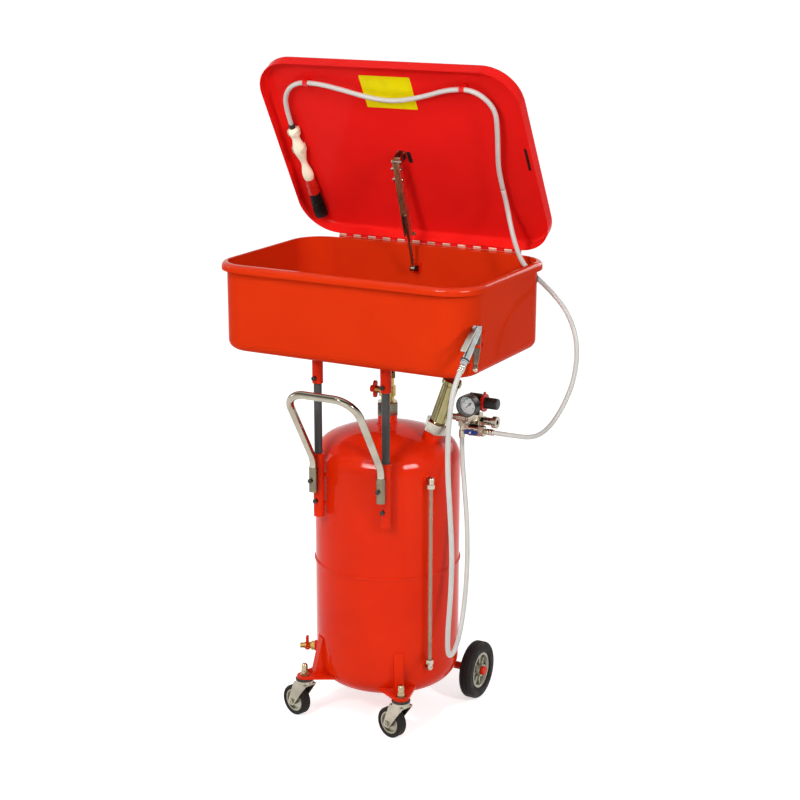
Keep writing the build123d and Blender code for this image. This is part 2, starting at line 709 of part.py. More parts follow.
# Push handle: one bent tube
with BuildPart() as push_handle:
    with BuildLine() as handle_line:
        FilletPolyline(
            at(-POST_X, SLEEVE_Y, SLEEVE_BOTTOM),
            at(-POST_X, SLEEVE_Y, HANDLE_BEND_HEIGHT),
            at(-POST_X, -HANDLE_REACH, HANDLE_TOP),
            at(POST_X, -HANDLE_REACH, HANDLE_TOP),
            at(POST_X, SLEEVE_Y, HANDLE_BEND_HEIGHT),
            at(POST_X, SLEEVE_Y, SLEEVE_BOTTOM),
            radius=HANDLE_BEND_RADIUS,
        )
    with BuildSketch(level(-POST_X, SLEEVE_Y, SLEEVE_BOTTOM)):
        Circle(HANDLE_RADIUS)
        Circle(HANDLE_RADIUS - HANDLE_WALL, mode=Mode.SUBTRACT)
    sweep(path=handle_line.line)
keep(push_handle, "push_handle")

# Lock screws of the sockets and sleeves
with BuildPart() as screws:
    for side in (-1, 1):
        seats = (
            (-POST_FRONT, SOCKET_BOTTOM + 3 * TAB_WIDTH, POST_RADIUS, SOCKET_RADIUS),
            (-POST_FRONT, SINK_SOCKET_BOTTOM + TAB_WIDTH, POST_RADIUS, SOCKET_RADIUS),
            (SLEEVE_Y, (SLEEVE_BOTTOM + SLEEVE_TOP) / 2, HANDLE_RADIUS, SLEEVE_RADIUS),
        )
        for y, height, inside, outside in seats:
            with BuildSketch(toward_front(side * POST_X, y - inside, height)):
                Circle(SCREW_RADIUS)
            extrude(amount=outside - inside)
            with BuildSketch(toward_front(side * POST_X, y - outside, height)):
                Circle(SCREW_HEAD_RADIUS)
            extrude(amount=SCREW_HEAD_LENGTH)
keep(screws, "lock_screws")

# Sink: a drawn basin with rounded edges, a rim turned out and down, and a stamped seat for the strainer
corner_middle_x = SINK_WALL_X - SINK_CORNER
corner_middle_y = SINK_WALL_BACK - SINK_CORNER
HOSE_HOLE_ANGLE = 27
HOSE_HOLE_DROP = 44
HOSE_HOLE_HEIGHT = SINK_RIM_TOP - HOSE_HOLE_DROP
HOSE_HOLE_ROOM = 4
hole_c = math.cos(math.radians(HOSE_HOLE_ANGLE))
hole_s = math.sin(math.radians(HOSE_HOLE_ANGLE))
hose_hole = Plane(
    origin=at(corner_middle_x + SINK_CORNER * hole_c, corner_middle_y + SINK_CORNER * hole_s, HOSE_HOLE_HEIGHT),
    x_dir=(-hole_s, hole_c, 0),
    z_dir=(hole_c, hole_s, 0),
)
with BuildPart() as sink:
    wall_length = SINK_LENGTH - 2 * RIM_OVERHANG
    with BuildSketch(level(0, SINK_MIDDLE_Y, SINK_FLOOR)):
        RectangleRounded(2 * SINK_WALL_X, wall_length, SINK_CORNER)
    extrude(amount=SINK_RIM_TOP - SINK_FLOOR)
    fillet(sink.edges().group_by(Axis.Z)[0], SINK_BOTTOM_FILLET)
    with BuildSketch(level(0, SINK_MIDDLE_Y, SINK_RIM_TOP - RIM_HEIGHT)):
        RectangleRounded(SINK_WIDTH, SINK_LENGTH, SINK_CORNER + RIM_OVERHANG)
    extrude(amount=RIM_HEIGHT)
    fillet(sink.edges().group_by(Axis.Z)[-1], RIM_FILLET)
    with BuildSketch(level(0, SINK_MIDDLE_Y, SINK_RIM_TOP - RIM_HEIGHT)):
        RectangleRounded(
            SINK_WIDTH - 2 * SINK_SHEET, SINK_LENGTH - 2 * SINK_SHEET, SINK_CORNER + RIM_OVERHANG - SINK_SHEET
        )
        RectangleRounded(2 * SINK_WALL_X, wall_length, SINK_CORNER, mode=Mode.SUBTRACT)
    extrude(amount=RIM_HEIGHT - RIM_FILLET, mode=Mode.SUBTRACT)
    with BuildPart(mode=Mode.PRIVATE) as basin_hollow:
        with BuildSketch(level(0, SINK_MIDDLE_Y, SINK_FLOOR + SINK_SHEET)):
            RectangleRounded(
                2 * (SINK_WALL_X - SINK_SHEET), wall_length - 2 * SINK_SHEET, SINK_CORNER - SINK_SHEET
            )
        extrude(amount=SINK_RIM_TOP - SINK_FLOOR)
        fillet(basin_hollow.edges().group_by(Axis.Z)[0], SINK_BOTTOM_FILLET - SINK_SHEET)
    add(basin_hollow.part, mode=Mode.SUBTRACT)
    with BuildSketch(level(0, 0, STRAINER_SEAT)):
        Circle(STRAINER_FLANGE_RADIUS + FREE_GAP + SINK_SHEET)
    extrude(amount=-SINK_SHEET)
    with BuildSketch(level(0, 0, STRAINER_SEAT)):
        Circle(STRAINER_FLANGE_RADIUS + FREE_GAP)
    extrude(amount=2 * STRAINER_SHEET, mode=Mode.SUBTRACT)
    with BuildSketch(level(0, 0, STRAINER_SEAT)):
        Circle(STRAINER_RADIUS)
    extrude(amount=-2 * SINK_SHEET, mode=Mode.SUBTRACT)
    with BuildSketch(hose_hole):
        Circle(HOSE_RADIUS + HOSE_HOLE_ROOM)
    extrude(amount=4 * SINK_SHEET, both=True, mode=Mode.SUBTRACT)
keep(sink, "sink_basin")

# Strainer cup in the sink's floor, with a drilled plate on top
with BuildPart() as strainer:
    cone_top = STRAINER_BOTTOM + STRAINER_LENGTH / 3
    with BuildSketch(AXIAL):
        with BuildLine():
            Polyline(
                (DRAIN_TAIL_RADIUS - STRAINER_SHEET, STRAINER_BOTTOM),
                (DRAIN_TAIL_RADIUS, STRAINER_BOTTOM),
                (STRAINER_RADIUS, cone_top),
                (STRAINER_RADIUS, STRAINER_SEAT),
                (STRAINER_FLANGE_RADIUS, STRAINER_SEAT),
                (STRAINER_FLANGE_RADIUS, STRAINER_SEAT + STRAINER_SHEET),
                (STRAINER_RADIUS - STRAINER_SHEET, STRAINER_SEAT + STRAINER_SHEET),
                (STRAINER_RADIUS - STRAINER_SHEET, cone_top),
                close=True,
            )
        make_face()
    revolve(axis=TANK_AXIS)
    with BuildSketch(level(0, 0, STRAINER_SEAT)):
        Circle(STRAINER_RADIUS - STRAINER_SHEET)
        with PolarLocations(STRAINER_RADIUS / 3, 6):
            Circle(STRAINER_HOLE_RADIUS, mode=Mode.SUBTRACT)
        with PolarLocations(STRAINER_RADIUS * 0.7, 12):
            Circle(STRAINER_HOLE_RADIUS, mode=Mode.SUBTRACT)
    extrude(amount=STRAINER_SHEET)
keep(strainer, "drain_strainer")

# Drain valve body between the cup and the union nut, with its stem boss to the left
STEM_BOSS_RADIUS = 9
STEM_BOSS_REACH = 32
VALVE_STEM_RADIUS = 4
VALVE_STEM_REACH = 46
with BuildPart() as drain_valve:
    with BuildSketch(level(0, 0, NOZZLE_TOP)):
        Circle(DRAIN_TAIL_RADIUS)
    extrude(amount=STRAINER_BOTTOM - NOZZLE_TOP)
    with BuildSketch(level(0, 0, STRAINER_BOTTOM)):
        RegularPolygon(DRAIN_TAIL_RADIUS + 5, 6)
    extrude(amount=-14)
    with BuildSketch(level(0, 0, DRAIN_STEM_HEIGHT)):
        Circle(DRAIN_TAIL_RADIUS + 4)
    extrude(amount=12, both=True)
    with BuildSketch(toward_right(0, 0, DRAIN_STEM_HEIGHT)):
        Circle(STEM_BOSS_RADIUS)
    extrude(amount=-STEM_BOSS_REACH)
    with BuildSketch(toward_right(0, 0, DRAIN_STEM_HEIGHT)):
        Circle(VALVE_STEM_RADIUS)
    extrude(amount=-VALVE_STEM_REACH)
    with BuildSketch(level(0, 0, NOZZLE_TOP)):
        Circle(DRAIN_TAIL_RADIUS - STRAINER_SHEET)
    extrude(amount=STRAINER_BOTTOM - NOZZLE_TOP, mode=Mode.SUBTRACT)
keep(drain_valve, "drain_valve_body")

# Drain valve handle: a hub with two wings
WING_SPAN = 38
WING_HEIGHT = 15
WING_THICKNESS = 6
with BuildPart() as drain_handle:
    with BuildSketch(toward_right(-STEM_BOSS_REACH - FREE_GAP, 0, DRAIN_STEM_HEIGHT)):
        Circle(STEM_BOSS_RADIUS)
    extrude(amount=-(VALVE_STEM_REACH - STEM_BOSS_REACH))
    with BuildSketch(toward_right(-STEM_BOSS_REACH - FREE_GAP, 0, DRAIN_STEM_HEIGHT)):
        with Locations((0, -WING_SPAN / 3), (0, WING_SPAN / 3)):
            Ellipse(WING_HEIGHT / 2, WING_SPAN / 4)
    extrude(amount=-WING_THICKNESS)
    with BuildSketch(toward_right(-STEM_BOSS_REACH, 0, DRAIN_STEM_HEIGHT)):
        Circle(VALVE_STEM_RADIUS + RUNNING_CLEARANCE)
    extrude(amount=-2 * VALVE_STEM_REACH, mode=Mode.SUBTRACT)
keep(drain_handle, "drain_valve_handle")

# Union nuts that hold the drain valve and the filler neck on the tank
with BuildPart() as union_nuts:
    with BuildSketch(level(0, 0, NOZZLE_TOP)):
        RegularPolygon(UNION_HEX_RADIUS, 6)
    drain_nut = extrude(amount=UNION_HEIGHT)
    chamfer(drain_nut.faces().sort_by(Axis.Z)[-1].edges(), UNION_CHAMFER)
    with BuildSketch(level(0, 0, NOZZLE_TOP)):
        Circle(DRAIN_TAIL_RADIUS)
    extrude(amount=UNION_HEIGHT, mode=Mode.SUBTRACT)
    with BuildSketch(along_neck(-NECK_SEAT)):
        RegularPolygon(NECK_NUT_HEX_RADIUS, 6)
    neck_nut = extrude(amount=NECK_NUT_HEIGHT)
    chamfer(neck_nut.faces().sort_by(Axis.Z)[-1].edges(), UNION_CHAMFER)
    with BuildSketch(along_neck(-NECK_SEAT)):
        Circle(NECK_RADIUS)
    extrude(amount=NECK_NUT_HEIGHT, mode=Mode.SUBTRACT)
keep(union_nuts, "union_nuts")

# Filler neck: tilted tube with a closed foot, cap, and the dip tube that hangs from the foot
with BuildPart() as neck:
    with BuildSketch(along_neck(-NECK_SEAT)):
        Circle(NECK_RADIUS)
        Circle(NECK_RADIUS - NECK_WALL, mode=Mode.SUBTRACT)
    extrude(amount=NECK_SEAT + NECK_LENGTH)
    with BuildSketch(along_neck(-NECK_SEAT)):
        Circle(NECK_RADIUS)
        Circle(DIP_TUBE_RADIUS, mode=Mode.SUBTRACT)
    extrude(amount=2 * NECK_WALL)
keep(neck, "filler_neck")

with BuildPart() as neck_cap:
    with BuildSketch(along_neck(NECK_LENGTH - NECK_CAP_HEIGHT / 2)):
        Circle(NECK_CAP_RADIUS)
    extrude(amount=NECK_CAP_HEIGHT)
    fillet(neck_cap.faces().sort_by(Axis.Z)[-1].edges(), 4)
    with BuildSketch(along_neck(NECK_LENGTH - NECK_CAP_HEIGHT / 2)):
        Circle(NECK_RADIUS)
    extrude(amount=NECK_CAP_HEIGHT / 2, mode=Mode.SUBTRACT)
keep(neck_cap, "filler_cap")

with BuildPart() as dip_tube:
    with BuildSketch(along_neck(-NECK_SEAT + 2 * NECK_WALL)):
        Circle(DIP_TUBE_RADIUS)
        Circle(DIP_TUBE_RADIUS - DIP_TUBE_WALL, mode=Mode.SUBTRACT)
    extrude(amount=-DIP_TUBE_LENGTH)
keep(dip_tube, "dip_tube")

# Air manifold: pipe from the neck, tee with a hose tail, cross block, inlet coupler with a flared collar
TEE_RADIUS = 11
TEE_LENGTH = 26
TAIL_LENGTH = 40
BLOCK_LEFT = BLOCK_X - BLOCK_SIZE / 2
BLOCK_RIGHT = BLOCK_X + BLOCK_SIZE / 2
BLOCK_TOP = PIPE_HEIGHT + BLOCK_SIZE / 2
REGULATOR_FOOT_RADIUS = 11
with BuildPart() as manifold:
    with BuildSketch(toward_right(NECK_X, 0, PIPE_HEIGHT)):
        Circle(PIPE_RADIUS)
    extrude(amount=BLOCK_LEFT - NECK_X)
    with BuildSketch(toward_right(TEE_X - TEE_LENGTH / 2, 0, PIPE_HEIGHT)):
        Circle(TEE_RADIUS)
    extrude(amount=TEE_LENGTH)
    with BuildSketch(level(TEE_X, 0, PIPE_HEIGHT)):
        RegularPolygon(TEE_RADIUS, 6)
    extrude(amount=-TAIL_LENGTH / 2)
    with BuildSketch(level(TEE_X, 0, PIPE_HEIGHT)):
        Circle(HOSE_RADIUS)
    extrude(amount=-TAIL_LENGTH)
    with BuildSketch(level(BLOCK_X, 0, PIPE_HEIGHT - BLOCK_SIZE / 2)):
        RectangleRounded(BLOCK_SIZE, BLOCK_SIZE, 5)
    extrude(amount=BLOCK_SIZE)
    with BuildSketch(along_neck(-NECK_SEAT)):
        Circle(NECK_RADIUS)
    extrude(amount=NECK_SEAT + NECK_LENGTH, mode=Mode.SUBTRACT)
    with BuildSketch(toward_right(BLOCK_RIGHT, 0, PIPE_HEIGHT)):
        RegularPolygon(COUPLER_RADIUS, 6)
    extrude(amount=COUPLER_LENGTH / 4)
    with BuildSketch(toward_right(BLOCK_RIGHT, 0, PIPE_HEIGHT)):
        Circle(COUPLER_RADIUS - 2)
    extrude(amount=COUPLER_LENGTH)
    with BuildSketch(toward_right(BLOCK_RIGHT + COUPLER_LENGTH * 0.75, 0, PIPE_HEIGHT)):
        Circle(COUPLER_RADIUS + 3)
    extrude(amount=COUPLER_LENGTH / 4)
    with BuildSketch(toward_right(BLOCK_RIGHT + COUPLER_LENGTH / 4, 0, PIPE_HEIGHT)):
        Circle(COUPLER_BORE)
    extrude(amount=COUPLER_LENGTH, mode=Mode.SUBTRACT)
keep(manifold, "air_manifold")

# Pressure regulator: foot, round body, bonnet, neck for the ring and spindle for the knob
REGULATOR_LEFT = BLOCK_X - REGULATOR_LENGTH / 2
BONNET_LEFT = REGULATOR_LEFT + REGULATOR_LENGTH
RING_LEFT = BONNET_LEFT + BONNET_LENGTH
KNOB_LEFT = RING_LEFT + RING_LENGTH + FREE_GAP
with BuildPart() as regulator:
    with BuildSketch(level(BLOCK_X, 0, BLOCK_TOP)):
        Circle(REGULATOR_FOOT_RADIUS)
    extrude(amount=REGULATOR_HEIGHT - BLOCK_TOP)
    with BuildSketch(toward_right(REGULATOR_LEFT, 0, REGULATOR_HEIGHT)):
        Circle(REGULATOR_RADIUS)
    extrude(amount=REGULATOR_LENGTH)
    with BuildSketch(toward_right(REGULATOR_LEFT, 0, REGULATOR_HEIGHT)):
        Circle(BONNET_RADIUS)
    extrude(amount=-BONNET_LENGTH)
    with BuildSketch(toward_right(BONNET_LEFT, 0, REGULATOR_HEIGHT)):
        Circle(BONNET_RADIUS)
    extrude(amount=BONNET_LENGTH)
    with BuildSketch(toward_right(RING_LEFT, 0, REGULATOR_HEIGHT)):
        Circle(RING_BORE)
    extrude(amount=RING_LENGTH)
    with BuildSketch(toward_right(RING_LEFT, 0, REGULATOR_HEIGHT)):
        Circle(SPINDLE_RADIUS)
    extrude(amount=SPINDLE_LENGTH + RING_LENGTH)
    with BuildSketch(toward_front(BLOCK_X, 0, REGULATOR_HEIGHT)):
        Circle(REGULATOR_FOOT_RADIUS)
    extrude(amount=GAUGE_STEM_FRONT)
keep(regulator, "regulator_body")

with BuildPart() as ring:
    with BuildSketch(toward_right(RING_LEFT, 0, REGULATOR_HEIGHT)):
        Circle(RING_RADIUS)
        with PolarLocations(RING_RADIUS, 12):
            Circle(1.5, mode=Mode.SUBTRACT)
        Circle(RING_BORE, mode=Mode.SUBTRACT)
    extrude(amount=RING_LENGTH)
keep(ring, "regulator_ring")

with BuildPart() as knob:
    with BuildSketch(toward_right(KNOB_LEFT, 0, REGULATOR_HEIGHT)):
        Circle(KNOB_RADIUS)
    extrude(amount=KNOB_LENGTH)
    fillet(knob.edges().group_by(Axis.X)[-1], 3)
    with BuildSketch(toward_right(KNOB_LEFT + 6, 0, REGULATOR_HEIGHT)):
        with PolarLocations(KNOB_RADIUS + 1, 16):
            Circle(2)
    extrude(amount=KNOB_LENGTH - 12, mode=Mode.SUBTRACT)
    with BuildSketch(toward_right(KNOB_LEFT, 0, REGULATOR_HEIGHT)):
        Circle(SPINDLE_RADIUS + RUNNING_CLEARANCE)
    extrude(amount=SPINDLE_LENGTH, mode=Mode.SUBTRACT)
keep(knob, "regulator_knob")

# Pressure gauge: stem, cupped case, dial with its pivot, needle and lens
CASE_BACK = -GAUGE_STEM_FRONT - GAUGE_STEM_LENGTH
CASE_FLOOR = CASE_BACK - GAUGE_WALL
DIAL_FACE = CASE_FLOOR - DIAL_THICKNESS
CASE_FRONT = CASE_BACK - GAUGE_DEPTH
PIVOT_RADIUS = 1
PIVOT_LENGTH = 4
with BuildPart() as gauge_case:
    with BuildSketch(toward_front(BLOCK_X, -GAUGE_STEM_FRONT, REGULATOR_HEIGHT)):
        RegularPolygon(REGULATOR_FOOT_RADIUS - 2, 6)
    extrude(amount=GAUGE_STEM_LENGTH)
    with BuildSketch(toward_front(BLOCK_X, CASE_BACK, REGULATOR_HEIGHT)):
        Circle(GAUGE_RADIUS)
    extrude(amount=GAUGE_DEPTH)
    fillet(gauge_case.edges().group_by(Axis.Y)[0], 1.2)
    with BuildSketch(toward_front(BLOCK_X, CASE_FLOOR, REGULATOR_HEIGHT)):
        Circle(GAUGE_RADIUS - GAUGE_WALL)
    extrude(amount=GAUGE_DEPTH, mode=Mode.SUBTRACT)
keep(gauge_case, "gauge_case")

with BuildPart() as dial:
    with BuildSketch(toward_front(BLOCK_X, CASE_FLOOR, REGULATOR_HEIGHT)):
        Circle(GAUGE_RADIUS - GAUGE_WALL)
    extrude(amount=DIAL_THICKNESS)
    with BuildSketch(toward_front(BLOCK_X, DIAL_FACE, REGULATOR_HEIGHT)):
        Circle(PIVOT_RADIUS)
    extrude(amount=PIVOT_LENGTH)
keep(dial, "gauge_dial")

NEEDLE_ZERO = -135
with BuildPart() as needle:
    with BuildSketch(toward_front(BLOCK_X, DIAL_FACE - FREE_GAP, REGULATOR_HEIGHT)):
        with BuildLine():
            zero_c = math.cos(math.radians(90 - NEEDLE_ZERO))
            zero_s = math.sin(math.radians(90 - NEEDLE_ZERO))
            Polyline(
                (-1.6 * zero_s - 6 * zero_c, 1.6 * zero_c - 6 * zero_s),
                (NEEDLE_LENGTH * zero_c, NEEDLE_LENGTH * zero_s),
                (1.6 * zero_s - 6 * zero_c, -1.6 * zero_c - 6 * zero_s),
                close=True,
            )
        make_face()
        Circle(3)
        Circle(PIVOT_RADIUS + RUNNING_CLEARANCE, mode=Mode.SUBTRACT)
    extrude(amount=1.2)
keep(needle, "gauge_needle")

with BuildPart() as lens:
    with BuildSketch(toward_front(BLOCK_X, CASE_FRONT + LENS_RECESS + LENS_THICKNESS, REGULATOR_HEIGHT)):
        Circle(GAUGE_RADIUS - GAUGE_WALL)
    extrude(amount=LENS_THICKNESS)
keep(lens, "gauge_lens")

# Brush valve: a ball valve in front of the block, with a hose tail to the right
VALVE_LEFT = BLOCK_X - 10
VALVE_RIGHT = VALVE_LEFT + VALVE_LENGTH
VALVE_MIDDLE = (VALVE_LEFT + VALVE_RIGHT) / 2
VALVE_TAIL = 16
BALL_STEM_RADIUS = 3
BALL_BOSS_RADIUS = 6
BALL_BOSS_FRONT = VALVE_FRONT + VALVE_RADIUS + 5
BALL_STEM_FRONT = BALL_BOSS_FRONT + 8
with BuildPart() as brush_valve:
    with BuildSketch(toward_right(VALVE_LEFT, -VALVE_FRONT, VALVE_HEIGHT)):
        RegularPolygon(VALVE_HEX_RADIUS, 6)
    extrude(amount=VALVE_LENGTH)
    with BuildSketch(toward_right(VALVE_MIDDLE, -VALVE_FRONT, VALVE_HEIGHT)):
        Circle(VALVE_RADIUS)
    extrude(amount=VALVE_LENGTH / 4, both=True)
    with BuildSketch(toward_right(VALVE_RIGHT, -VALVE_FRONT, VALVE_HEIGHT)):
        Circle(HOSE_RADIUS)
    extrude(amount=VALVE_TAIL)
    with BuildSketch(toward_front(BLOCK_X, -BLOCK_SIZE / 2, VALVE_HEIGHT + PIPE_RADIUS)):
        Circle(PIPE_RADIUS)
    extrude(amount=VALVE_FRONT - BLOCK_SIZE / 2)
    with BuildSketch(toward_front(VALVE_MIDDLE, -VALVE_FRONT, VALVE_HEIGHT)):
        Circle(BALL_BOSS_RADIUS)
    extrude(amount=BALL_BOSS_FRONT - VALVE_FRONT)
    with BuildSketch(toward_front(VALVE_MIDDLE, -VALVE_FRONT, VALVE_HEIGHT)):
        Circle(BALL_STEM_RADIUS)
    extrude(amount=BALL_STEM_FRONT - VALVE_FRONT)
keep(brush_valve, "brush_valve_body")

with BuildPart() as brush_lever:
    lever_face = toward_front(VALVE_MIDDLE, -BALL_BOSS_FRONT - FREE_GAP, VALVE_HEIGHT)
    with BuildSketch(lever_face):
        Circle(BALL_BOSS_RADIUS + 1)
    extrude(amount=BALL_STEM_FRONT - BALL_BOSS_FRONT)
    with BuildSketch(lever_face):
        with Locations((-10, 0), (10, 0)):
            Ellipse(9, 5.5)
    extrude(amount=5)
    with BuildSketch(lever_face):
        Circle(BALL_STEM_RADIUS + RUNNING_CLEARANCE)
    extrude(amount=2 * BALL_STEM_FRONT, mode=Mode.SUBTRACT)
keep(brush_lever, "brush_valve_lever")

# Sight gauge: two elbows on the tank's bosses and the clear tube between them
sight_distance = TANK_RADIUS + SIGHT_STANDOFF
sight_x = sight_distance * math.cos(math.radians(SIGHT_AZIMUTH))
sight_y = sight_distance * math.sin(math.radians(SIGHT_AZIMUTH))
with BuildPart() as elbows:
    for height, way in ((SIGHT_TOP, -1), (SIGHT_BOTTOM, 1)):
        with BuildSketch(outward(SIGHT_AZIMUTH, TANK_RADIUS + BOSS_PROUD, height)):
            Circle(ELBOW_RADIUS)
        extrude(amount=SIGHT_STANDOFF - BOSS_PROUD)
        with Locations(at(sight_x, sight_y, height)):
            Sphere(ELBOW_RADIUS + 1)
        with BuildSketch(level(sight_x, sight_y, height)):
            Circle(ELBOW_RADIUS)
        extrude(amount=way * ELBOW_DROP)
        with BuildSketch(level(sight_x, sight_y, height + way * ELBOW_DROP)):
            RegularPolygon(ELBOW_RADIUS + 3, 6)
        extrude(amount=-way * ELBOW_DROP / 2)
        with BuildSketch(level(sight_x, sight_y, height + way * ELBOW_DROP)):
            Circle(SIGHT_TUBE_RADIUS)
        extrude(amount=-way * ELBOW_DROP / 2, mode=Mode.SUBTRACT)
keep(elbows, "sight_elbows")

with BuildPart() as sight_tube:
    tube_bottom = SIGHT_BOTTOM + ELBOW_DROP / 2
    with BuildSketch(level(sight_x, sight_y, tube_bottom)):
        Circle(SIGHT_TUBE_RADIUS)
        Circle(SIGHT_TUBE_RADIUS - SIGHT_TUBE_WALL, mode=Mode.SUBTRACT)
    extrude(amount=SIGHT_TOP - ELBOW_DROP / 2 - tube_bottom)
keep(sight_tube, "sight_tube")

# Drain cock: hex root, body, spout with its bore, stem to the front-right, upright lever
COCK_ROOT = TANK_RADIUS + BOSS_PROUD
COCK_BODY_MIDDLE = COCK_ROOT + 18
COCK_END = COCK_ROOT + 38
COCK_STEM_REACH = 18
cock_c = math.cos(math.radians(COCK_AZIMUTH))
cock_s = math.sin(math.radians(COCK_AZIMUTH))


def cock_side(reach):
    """A plane square to the drain cock's stem, with its y upward and its x along the pipe."""
    x = COCK_BODY_MIDDLE * cock_c - reach * cock_s
    y = COCK_BODY_MIDDLE * cock_s + reach * cock_c
    return Plane(origin=at(x, y, COCK_HEIGHT), x_dir=(-cock_c, -cock_s, 0), z_dir=(-cock_s, cock_c, 0))


with BuildPart() as cock:
    with BuildSketch(outward(COCK_AZIMUTH, COCK_ROOT, COCK_HEIGHT)):
        RegularPolygon(12, 6)
    extrude(amount=9)
    with BuildSketch(outward(COCK_AZIMUTH, COCK_ROOT, COCK_HEIGHT)):
        Circle(9)
    extrude(amount=27)
    with BuildSketch(outward(COCK_AZIMUTH, COCK_ROOT, COCK_HEIGHT)):
        Circle(7)
    extrude(amount=COCK_END - COCK_ROOT)
    with BuildSketch(cock_side(0)):
        Circle(6)
    extrude(amount=12)
    with BuildSketch(cock_side(0)):
        Circle(2.5)
    extrude(amount=COCK_STEM_REACH)
    with BuildSketch(outward(COCK_AZIMUTH, COCK_END, COCK_HEIGHT)):
        Circle(COCK_BORE)
    extrude(amount=-(COCK_END - COCK_ROOT) / 2, mode=Mode.SUBTRACT)
keep(cock, "drain_cock_body")

with BuildPart() as cock_lever:
    with BuildSketch(cock_side(12 + FREE_GAP)):
        Circle(6)
        with Locations((0, COCK_LEVER_LENGTH / 2)):
            SlotOverall(COCK_LEVER_LENGTH + 8, 8, rotation=90)
        Circle(2.5 + RUNNING_CLEARANCE, mode=Mode.SUBTRACT)
    extrude(amount=COCK_STEM_REACH - 13)
keep(cock_lever, "drain_cock_lever")


# The lid's own plane at rest: x along the hinge, y up the lid, z out of its open side
def on_lid(x, y, z):
    """A plane that lies on the lid, with its y up the lid and its z out of the open side."""
    origin = at(x, HINGE_Y - y * lid_c - z * lid_s, HINGE_Z + y * lid_s - z * lid_c)
    return Plane(origin=origin, x_dir=(1, 0, 0), z_dir=(0, -lid_s, -lid_c))


def lid_point(x, y, z):
    """A point given in the lid's own plane."""
    return on_lid(x, y, z).origin


# Lid: a shallow pan with round corners and a slot near its right edge
with BuildPart() as lid:
    lid_middle = (LID_BACK + LID_REACH) / 2
    lid_length = LID_REACH - LID_BACK
    with BuildSketch(on_lid(0, lid_middle, LID_PANEL)):
        RectangleRounded(LID_WIDTH, lid_length, LID_CORNER)
    extrude(amount=LID_DEPTH)
    panel_edges = lid.faces().sort_by(Axis(at(0, 0, 0), (0, lid_s, lid_c)))[-1].edges()
    fillet(panel_edges, LID_EDGE_FILLET)
    with BuildPart(mode=Mode.PRIVATE) as lid_hollow:
        with BuildSketch(on_lid(0, lid_middle, LID_INSIDE)):
            RectangleRounded(LID_WIDTH - 2 * LID_SHEET, lid_length - 2 * LID_SHEET, LID_CORNER - LID_SHEET)
        extrude(amount=LID_DEPTH)
        hollow_edges = lid_hollow.faces().sort_by(Axis(at(0, 0, 0), (0, lid_s, lid_c)))[-1].edges()
        fillet(hollow_edges, LID_EDGE_FILLET - LID_SHEET)
    add(lid_hollow.part, mode=Mode.SUBTRACT)
    with BuildSketch(on_lid(LID_SLOT_X, LID_SLOT_Y, LID_PANEL)):
        SlotOverall(LID_SLOT_LENGTH, LID_SLOT_WIDTH, rotation=90)
    extrude(amount=LID_DEPTH / 2, mode=Mode.SUBTRACT)
keep(lid, "lid_panel")

# Piano hinge: two leaves with interleaved knuckles on one pin
hinge_start = -KNUCKLE_COUNT * KNUCKLE_PITCH / 2


def knuckles(first, bore):
    """Every second knuckle, from the first, drilled for the pin."""
    with BuildPart() as row:
        for index in range(first, KNUCKLE_COUNT, 2):
            start = hinge_start + index * KNUCKLE_PITCH + KNUCKLE_GAP / 2
            with BuildSketch(toward_right(start, HINGE_Y, HINGE_Z)):
                Circle(KNUCKLE_HINGE_RADIUS)
                Circle(bore, mode=Mode.SUBTRACT)
            extrude(amount=KNUCKLE_PITCH - KNUCKLE_GAP)
    return row.part


sink_knuckles = knuckles(0, HINGE_PIN_RADIUS)
lid_knuckles = knuckles(1, HINGE_PIN_RADIUS + RUNNING_CLEARANCE)
LEAF_LENGTH = KNUCKLE_COUNT * KNUCKLE_PITCH
TAB_GRIP = 3
with BuildPart() as sink_leaf:
    with BuildSketch(toward_right(hinge_start, SINK_BACK, SINK_RIM_TOP)):
        with Locations((LEAF_SHEET / 2, -LEAF_WIDTH / 2)):
            Rectangle(LEAF_SHEET, LEAF_WIDTH)
    extrude(amount=LEAF_LENGTH)
    for index in range(0, KNUCKLE_COUNT, 2):
        start = hinge_start + index * KNUCKLE_PITCH + KNUCKLE_GAP / 2
        with BuildSketch(toward_right(start, SINK_BACK, SINK_RIM_TOP)):
            with Locations((LEAF_SHEET, HINGE_RISE / 2 - TAB_GRIP / 2)):
                Rectangle(LEAF_SHEET, HINGE_RISE + TAB_GRIP)
        extrude(amount=KNUCKLE_PITCH - KNUCKLE_GAP)
    add(sink_knuckles)
keep(sink_leaf, "hinge_leaf_sink")

with BuildPart() as lid_leaf:
    with BuildSketch(on_lid(0, LID_BACK - LEAF_SHEET / 2, -LEAF_START)):
        Rectangle(LEAF_LENGTH, LEAF_SHEET)
    extrude(amount=-LEAF_WIDTH)
    for index in range(1, KNUCKLE_COUNT, 2):
        start = hinge_start + (index + 0.5) * KNUCKLE_PITCH
        with BuildSketch(on_lid(start, LID_BACK - LEAF_SHEET, 0)):
            Rectangle(KNUCKLE_PITCH - KNUCKLE_GAP, LEAF_SHEET)
        extrude(amount=-LEAF_START - TAB_GRIP)
    add(lid_knuckles)
keep(lid_leaf, "hinge_leaf_lid")

with BuildPart() as hinge_pin:
    with BuildSketch(toward_right(hinge_start, HINGE_Y, HINGE_Z)):
        Circle(HINGE_PIN_RADIUS)
    extrude(amount=LEAF_LENGTH)
keep(hinge_pin, "hinge_pin")

